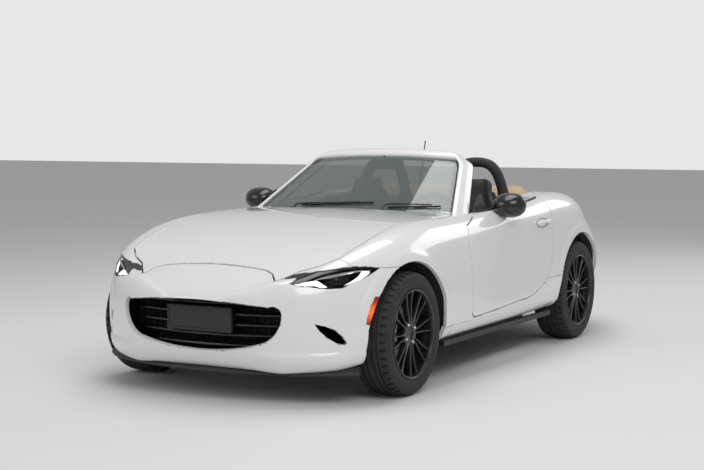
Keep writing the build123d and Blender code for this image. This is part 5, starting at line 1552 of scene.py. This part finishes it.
class ROADSTER_OT_dash(bpy.types.Operator):
    """Dashboard, instrument hood, vents, console and steering wheel"""
    bl_idname, bl_label = "roadster.dash", "Dashboard and controls"

    def execute(self, context):
        rings = []
        for y, lift, back in DASH:
            section = ((378, 640), (378, 770), (330, 786), (236, 790), (170 + back, 806 + lift),
                       (120 + back, 800 + lift), (82 + back, 786 + lift * 0.9), (66 + back, 760 + lift * 0.3),
                       (74 + back, 725), (92, 690), (110, 640), (150, 622), (300, 622))
            rings.append([mm(x, y, z) for x, z in section])
        piece("dash_pad", skinned(rings), "cabin_plastic", ["dashboard"], soft=2)
        bm = bmesh.new()
        for y in (-540, -95, 95, 540):
            vent = turned(VENT, 32)
            for z in (-0.014, 0, 0.014):
                block(vent, (-0.030, z - 0.0015, -0.006), (0.030, z + 0.0015, 0.003))
            added(bm, vent, pointed((0.070, y * MM, 0.745), (-1, 0, 0.1)))
        piece("dash_vents", bm, "gloss_black")
        screen = block(bmesh.new(), (0.150, -0.105, 0.806), (0.166, 0.105, 0.905), 0.006, 3)
        piece("dash_screen", screen, "gloss_black", sharp=35)
        bm = bmesh.new()
        for y in (300, 365, 430):
            added(bm, turned(DIAL, 32), pointed((0.086, y * MM, 0.800), (-1, 0, 0.3)))
        piece("dash_dials", bm, "gloss_black")
        rings = [oval(mm(x, 0, (z + CONSOLE_Z) / 2), mm(0, half, 0), mm(0, 0, (z - CONSOLE_Z) / 2), 24, 4.0)
                 for x, z, half in CONSOLE]
        piece("console_shell", skinned(rings), "cabin_plastic", ["centre_console"])
        bm = bmesh.new()
        tube(bm, [(-0.10, 0, 0.495), (-0.104, 0, 0.56), (-0.108, 0, 0.60)], [0.012, 0.008, 0.008])
        added(bm, turned(KNOB, 28), Matrix.Translation((-0.110, 0, 0.612)))
        tube(bm, smooth_path([(-0.33, -0.05, 0.50), (-0.26, -0.05, 0.535), (-0.18, -0.05, 0.548)], 5), 0.010)
        piece("gear_and_brake_levers", bm, "leather")
        steering_wheel()
        return {"FINISHED"}


STEERING_AT, STEERING_RAKE, STEERING_R = (-0.005, 0.365, 0.780), math.radians(22), 0.172
# Boss and arm stations of the steering wheel, in metres: (z, radius) and (distance out, half width, z).
BOSS = ((0.034, 0.050), (0.010, 0.062), (-0.012, 0.060), (-0.020, 0.048), (-0.023, 0.020))
LEVEL_ARM = ((0.045, 0.030, 0.004), (0.10, 0.020, 0.003), (0.162, 0.015, 0))
THIN_ARM = ((0.045, 0.012, 0.004), (0.10, 0.009, 0.003), (0.162, 0.008, 0))


def steering_wheel():
    """The rim, and the boss with two level arms and two thin raised ones, built flat and then raked."""
    move = pointed(STEERING_AT, (math.cos(STEERING_RAKE), 0, -math.sin(STEERING_RAKE)), "Z", "X")
    rings = []
    for a in (math.tau * k / 64 for k in range(64)):
        out = Vector((math.cos(a), math.sin(a), 0))
        fat = 0.0145 + 0.0015 * math.cos(2 * a) ** 2
        rings.append(oval(out * STEERING_R, out * fat, (0, 0, fat * 0.9), 12))
    bm = skinned(rings, "joined")
    bmesh.ops.transform(bm, matrix=move, verts=bm.verts[:])
    piece("steering_rim", bm, "leather", ["steering_wheel"], "steering")
    bm = skinned([oval((0, 0, z), (r, 0, 0), (0, r * 0.92, 0), 28, 2.5) for z, r in BOSS])
    axle, raised, level = Vector((0, 0, 1)), Vector((1, 0, 0)), Vector((0, 1, 0))
    ways = [(level, LEVEL_ARM, 0.007), (-level, LEVEL_ARM, 0.007)]
    ways += [((raised + raised.cross(axle) * s).normalized(), THIN_ARM, 0.006) for s in (-0.35, 0.35)]
    for out, stations, thick in ways:
        skin_over(bm, [oval(out * r + Vector((0, 0, z)), out.cross(axle) * w, (0, 0, thick), 12)
                       for r, w, z in stations])
    tube(bm, [(0, 0, 0.03), (0, 0, 0.08)], 0.023, 20)
    bmesh.ops.transform(bm, matrix=move, verts=bm.verts[:])
    piece("steering_hub", bm, "cabin_plastic", [], "steering", sharp=35)


# Half hoop, in metres: x, y, z from its outer foot over the top to its inner foot.
HOOP = ((-0.684, 0.492, 0.842), (-0.680, 0.486, 0.93), (-0.668, 0.452, 1.04), (-0.655, 0.402, 1.098),
        (-0.651, 0.320, 1.113), (-0.655, 0.242, 1.098), (-0.668, 0.212, 1.04), (-0.680, 0.192, 0.93),
        (-0.684, 0.186, 0.842))
HOOP_FOOT_Z = 0.842
# Inner mirror's shell, in metres: x from its middle, half width, half height.
CABIN_MIRROR = ((-0.013, 0.110, 0.030), (-0.010, 0.114, 0.034), (0.004, 0.110, 0.031), (0.013, 0.085, 0.022))


class ROADSTER_OT_cabin(bpy.types.Operator):
    """Roll hoop covers and interior mirror"""
    bl_idname, bl_label = "roadster.cabin", "Cabin trim"

    def execute(self, context):
        for side, word in SIDES:
            path = smooth_path([(x, side * y, z) for x, y, z in HOOP], 6)
            rings = []
            for i, p in enumerate(path):
                along = (path[min(i + 1, len(path) - 1)] - path[max(i - 1, 0)]).normalized()
                deep = Vector((1, 0, 0))
                deep = (deep - along * deep.dot(along)).normalized()
                foot = 1 + 0.55 * max(0, 1 - (p.z - HOOP_FOOT_Z) / 0.10)
                rings.append(oval(p, along.cross(deep) * 0.030 * foot, deep * 0.034 * foot, 16, 2.6))
            node = ["roll_hoops"] if side > 0 else []
            piece(f"hoop_cover_{word}", skinned(rings), "cabin_plastic", node)
        bm = skinned([oval((-0.050 + dx, 0, 1.112), (0, half, 0), (0.0, 0, tall), 28, 3.2)
                      for dx, half, tall in CABIN_MIRROR])
        tube(bm, smooth_path([(-0.040, 0, 1.12), (-0.036, 0, 1.142), (-0.040, 0, 1.160)], 4), 0.012)
        piece("cabin_mirror", bm, "cabin_plastic", ["interior_mirror"])
        glass = [oval((x, 0, 1.112), (0, 0.104, 0), (0, 0, 0.026), 28, 3.2) for x in (-0.0637, -0.0642)]
        piece("cabin_mirror_glass", skinned(glass), "mirror_glass")
        return {"FINISHED"}


# ---------------------------------------------------------------- folded top
# Section through the folded top on the car's middle, and half of the seal round its well, in metres.
TOP_PROFILE = [(-0.772, 0, 0.780), (-0.764, 0, 0.862), (-0.782, 0, 0.905), (-0.850, 0, 0.938),
               (-0.960, 0, 0.957), (-1.070, 0, 0.956), (-1.160, 0, 0.940), (-1.222, 0, 0.905),
               (-1.238, 0, 0.850), (-1.236, 0, 0.780)]
WELL_SEAL = [(-1.245, 0.0, 0.892), (-1.236, 0.2, 0.890), (-1.205, 0.38, 0.884), (-1.13, 0.50, 0.874),
             (-0.98, 0.555, 0.868), (-0.80, 0.585, 0.862)]
TOP_HALF, TOP_EDGE = 0.575, 0.8     # half width in front, and the share of it from which the sides fall


class ROADSTER_OT_top(bpy.types.Operator):
    """Folded fabric top in its well"""
    bl_idname, bl_label = "roadster.top", "Folded top"

    def execute(self, context):
        profile = smooth_path(TOP_PROFILE, 5)
        last = len(profile) - 1
        bm = bmesh.new()
        bmesh.ops.create_grid(bm, x_segments=last, y_segments=60, size=0.5)
        for v in bm.verts:
            p = profile[min(int(round((v.co.x + 0.5) * last)), last)]
            u = v.co.y * 2
            half = TOP_HALF - max(0, (-0.86 - p.x)) * 0.28
            edge = max(0, abs(u) - TOP_EDGE) / 0.20
            bent = math.copysign(TOP_EDGE + 0.2 * math.sin(edge * math.pi / 2), u)
            y = half * (u if abs(u) < TOP_EDGE else bent)
            z = p.z + 0.006 * math.cos(u * 5.5) - (p.z - 0.79) * edge ** 2.2 * 0.9
            fold = 0.0035 * math.sin(p.x * 105 + 3 * u * u) * (1 - edge)
            v.co = (p.x + 0.030 * u * u * (1 if p.x < -1.0 else -0.4), y, z + fold)
        top = piece("folded_top", thickened(bm, 0.003), "tan_cloth", ["soft_top"], soft=1)
        whole = [(x, -y, z) for x, y, z in reversed(WELL_SEAL[1:])] + WELL_SEAL
        piece("well_seal", tube(bmesh.new(), smooth_path(whole, 6), 0.010, 10), "trim")
        return {"FINISHED"}


# ---------------------------------------------------------------- tail
# Diffuser stations, in mm: y, x, then its lower and upper edge.
DIFFUSER = ((-424, -1822, 262, 352), (-300, -1880, 240, 364), (0, -1916, 232, 368), (300, -1880, 240, 364),
            (424, -1822, 262, 352))
STOP_LAMP = [(-70, 795), (70, 795), (70, 812), (-70, 812)]
TAIL_PIPE = [(0.038, 0.0), (0.038, 0.13), (0.0365, 0.134), (0.0335, 0.132), (0.0335, 0.0)]


class ROADSTER_OT_lamps_rear(bpy.types.Operator):
    """Round tail lamps, high stop lamp, diffuser and tail pipes"""
    bl_idname, bl_label = "roadster.lamps_rear", "Tail lamps and diffuser"

    def execute(self, context):
        for side, word in SIDES:
            node = ["tail_lamps"] if side > 0 else []
            lens, bowl = self.lamp(side, TAIL_LAMP_R - 1, 0), self.lamp(side, TAIL_LAMP_R - 1, 22)
            piece(f"tail_lens_{word}", turn_in(lens, 2, 10), "red_lens", node)
            piece(f"tail_bowl_{word}", turn_out(bowl, 20.0), "gloss_black")
            hoop = self.lamp(side, 47, 10, cut(tail_ring(side, 38), FRONT))
            piece(f"tail_guide_{word}", turn_in(hoop, 1, 8), "marker")
        rings = [[mm(x, y, high), mm(x - 4, y, high - 20), mm(x + 6, y, low + 20), mm(x + 34, y, low),
                  mm(x + 60, y, low + 10), mm(x + 30, y, high)] for y, x, low, high in DIFFUSER]
        bm = skinned(rings)
        for y in (-180, 0, 180):
            block(bm, (-1.925, (y - 5) * MM, 0.236), (-1.86, (y + 5) * MM, 0.33), 0.003, 2)
        piece("diffuser_shell", bm, "trim", ["rear_diffuser"], soft=1)
        lens = patch(((-2.0, -1.7), (-0.12, 0.12), (0.7, 0.9)), keep(STOP_LAMP, FRONT), sink(-0.8))
        piece("high_stop_lens", turn_in(lens, 1.0, 4.0), "red_lens", [], "boot")
        bm = bmesh.new()
        for y in (-0.270, -0.366):
            added(bm, turned(TAIL_PIPE, 40), pointed((-1.785, y, 0.268), (-1, 0, 0)))
        piece("exhaust_tips", bm, "exhaust")
        return {"FINISHED"}

    def lamp(self, side, radius, depth, *steps):
        """The outer form inside a tail lamp's ring, set back by a depth (mm)."""
        return patch(((-2.0, -1.5), span(side, 0.40, 0.60), (0.64, 0.83)),
                     keep(tail_ring(side, radius), FRONT), sink(depth), *steps)




# ---------------------------------------------------------------- what stays of the frame
class ROADSTER_OT_running_gear(bpy.types.Operator):
    """Finishes for the frame's own pieces: floor, rails, arms, engine and pipes, and the carpets"""
    bl_idname, bl_label = "roadster.running_gear", "Running gear"

    KEPT = {
        "underbody": ("floor_pan", "front_bulkhead", "rear_bulkhead", "frame_rails", "wheel_liners",
                      "top_well"),
        "casting": ("engine", "gearbox_and_propshaft", "front_suspension", "rear_suspension",
                    "knuckle_front_left", "knuckle_front_right"),
        "exhaust": ("exhaust",),
        "trim": ("cowl", "sill_skirts", "antenna"),
    }

    def execute(self, context):
        for finish, nodes in self.KEPT.items():
            for node in nodes:
                use_finish(node, finish)
        bm = bmesh.new()
        for side in (1, -1):
            inner, outer = span(side, 0.16, 0.62)
            block(bm, (-0.62, inner, 0.183), (0.58, outer, 0.190), 0.003, 2)
        piece("carpets", bm, "black_cloth")
        return {"FINISHED"}


# ---------------------------------------------------------------- stage
CAMERA_AT = (7.6417, 4.0366, 1.3112)
CAMERA_YAW, CAMERA_PITCH, CAMERA_ROLL = -2.6351, -0.0719, 0.0009
FLOOR_HALF = 40                 # in metres
# Lights: name, place, size, share of the key light's power, what they aim at.
LIGHTS = (
    ("key", (5.5, 5.5, 6.0), (5.0, 4.0), 1, (0.3, 0, 0.5)),
    ("fill", (7.5, -5.0, 4.5), (4.0, 4.0), 0.42, (0.3, 0, 0.5)),
    ("top", (-0.5, 0.0, 6.5), (6.0, 3.0), 0.75, (-0.5, 0, 0.5)),
    ("back", (-7.0, 3.0, 4.0), (4.0, 3.0), 0.30, (0, 0, 0.6)),
)


def in_scene(name, data, move=None):
    """An object of the stage, put where move says."""
    obj = bpy.data.objects.new(name, data)
    bpy.context.scene.collection.objects.link(obj)
    if move:
        obj.matrix_world = move
    return obj


class ROADSTER_OT_stage(bpy.types.Operator):
    """Pale floor, soft lights and the camera"""
    bl_idname, bl_label = "roadster.stage", "Stage"

    def execute(self, context):
        scene = context.scene
        look = scene.roadster_stage
        camera = bpy.data.cameras.new("camera")
        camera.lens, camera.sensor_width = look.lens, 36.0
        camera.clip_end = 100
        level = math.cos(CAMERA_PITCH)
        facing = (math.cos(CAMERA_YAW) * level, math.sin(CAMERA_YAW) * level, math.sin(CAMERA_PITCH))
        move = pointed(CAMERA_AT, facing, "-Z") @ Matrix.Rotation(CAMERA_ROLL, 4, "Z")
        scene.camera = in_scene("camera", camera, move)
        bm = bmesh.new()
        bmesh.ops.create_grid(bm, x_segments=8, y_segments=8, size=FLOOR_HALF)
        mesh = bpy.data.meshes.new("floor")
        bm.to_mesh(mesh)
        bm.free()
        mesh.materials.append(self.floor_finish(look))
        in_scene("floor", mesh)
        for name, place, size, share, aim in LIGHTS:
            lamp = bpy.data.lights.new(name, "AREA")
            lamp.shape, (lamp.size, lamp.size_y), lamp.energy = "RECTANGLE", size, look.key * share
            in_scene(name, lamp, pointed(place, Vector(aim) - Vector(place), "-Z"))
        self.world(look)
        scene.view_settings.view_transform = "Standard"
        return {"FINISHED"}

    def floor_finish(self, look):
        """Pale floor, a little uneven in tone."""
        s = Shader("pale_floor", Roughness=0.75)
        s.set("Base Color", s.mix(s.noise(0.8, 3), [c * 0.98 for c in look.floor], look.floor))
        return s.material

    def world(self, look):
        """Even light from all sides, and a backdrop that only the camera sees."""
        world = bpy.data.worlds.new("studio")
        bpy.context.scene.world = world
        world.use_nodes = True
        tree = world.node_tree
        tree.nodes.clear()
        out, mix, path = [tree.nodes.new(f"ShaderNode{kind}")
                          for kind in ("OutputWorld", "MixShader", "LightPath")]
        tree.links.new(path.outputs["Is Camera Ray"], mix.inputs["Fac"])
        for i, (colour, strength) in enumerate((((1, 1, 1), look.sky), (look.backdrop, 1.0)), 1):
            light = tree.nodes.new("ShaderNodeBackground")
            light.inputs["Color"].default_value = (*colour, 1)
            light.inputs["Strength"].default_value = strength
            tree.links.new(light.outputs[0], mix.inputs[i])
        tree.links.new(mix.outputs[0], out.inputs["Surface"])


# ---------------------------------------------------------------- settings and panel
class RoadsterPaint(bpy.types.PropertyGroup):
    """Colours of the paint"""
    colour: FloatVectorProperty(name="Paint", description="Main colour of the paint", subtype="COLOR",
                                default=(0.78, 0.78, 0.775), min=0, max=1)
    shade: FloatVectorProperty(name="Paint shade", description="Colour where the coat is a little thinner",
                               subtype="COLOR", default=(0.75, 0.75, 0.745), min=0, max=1)
    mica: FloatProperty(name="Mica", description="Share of mica flakes that shine through", default=0.25,
                        min=0, max=1, subtype="FACTOR")


class RoadsterStage(bpy.types.PropertyGroup):
    """Light, camera and floor"""
    key: FloatProperty(name="Key light", description="Power of the main light", default=235.0, min=0)
    sky: FloatProperty(name="Sky", description="Strength of the even light from all sides", default=0.42,
                       min=0)
    lens: FloatProperty(name="Lens", description="Focal length of the camera", default=74.57, min=20)
    floor: FloatVectorProperty(name="Floor", description="Colour of the floor", subtype="COLOR",
                               default=(0.74, 0.74, 0.74), min=0, max=1)
    backdrop: FloatVectorProperty(name="Backdrop", description="Colour behind the car", subtype="COLOR",
                                  default=(0.80, 0.80, 0.81), min=0, max=1)


OPERATORS = (
    ROADSTER_OT_hood, ROADSTER_OT_wings, ROADSTER_OT_nose, ROADSTER_OT_quarters, ROADSTER_OT_tail,
    ROADSTER_OT_doors, ROADSTER_OT_sills, ROADSTER_OT_screen, ROADSTER_OT_cowl, ROADSTER_OT_headlamps,
    ROADSTER_OT_mouth, ROADSTER_OT_wheels, ROADSTER_OT_mirrors, ROADSTER_OT_seats, ROADSTER_OT_dash,
    ROADSTER_OT_cabin, ROADSTER_OT_top, ROADSTER_OT_lamps_rear, ROADSTER_OT_running_gear, ROADSTER_OT_stage,
)


class ROADSTER_PT_panel(bpy.types.Panel):
    """The car's colours, light, camera and builders"""
    bl_idname, bl_label = "ROADSTER_PT_panel", "Roadster"
    bl_space_type, bl_region_type, bl_category = "VIEW_3D", "UI", "Roadster"

    def draw(self, context):
        for group in (context.scene.roadster_paint, context.scene.roadster_stage):
            for name in group.bl_rna.properties.keys():
                if name not in ("rna_type", "name"):
                    self.layout.prop(group, name)
        for maker in OPERATORS:
            self.layout.operator(maker.bl_idname)


CLASSES = (RoadsterPaint, RoadsterStage) + OPERATORS + (ROADSTER_PT_panel,)


def register():
    """Register the classes and the settings."""
    for cls in CLASSES:
        bpy.utils.register_class(cls)
    bpy.types.Scene.roadster_paint = PointerProperty(type=RoadsterPaint)
    bpy.types.Scene.roadster_stage = PointerProperty(type=RoadsterStage)


def unregister():
    """Undo what register did."""
    del bpy.types.Scene.roadster_stage
    del bpy.types.Scene.roadster_paint
    for cls in reversed(CLASSES):
        bpy.utils.unregister_class(cls)


def main():
    """Build everything."""
    register()
    for maker in OPERATORS:
        group, name = maker.bl_idname.split(".")
        getattr(getattr(bpy.ops, group), name)()


if __name__ == "__main__":
    main()
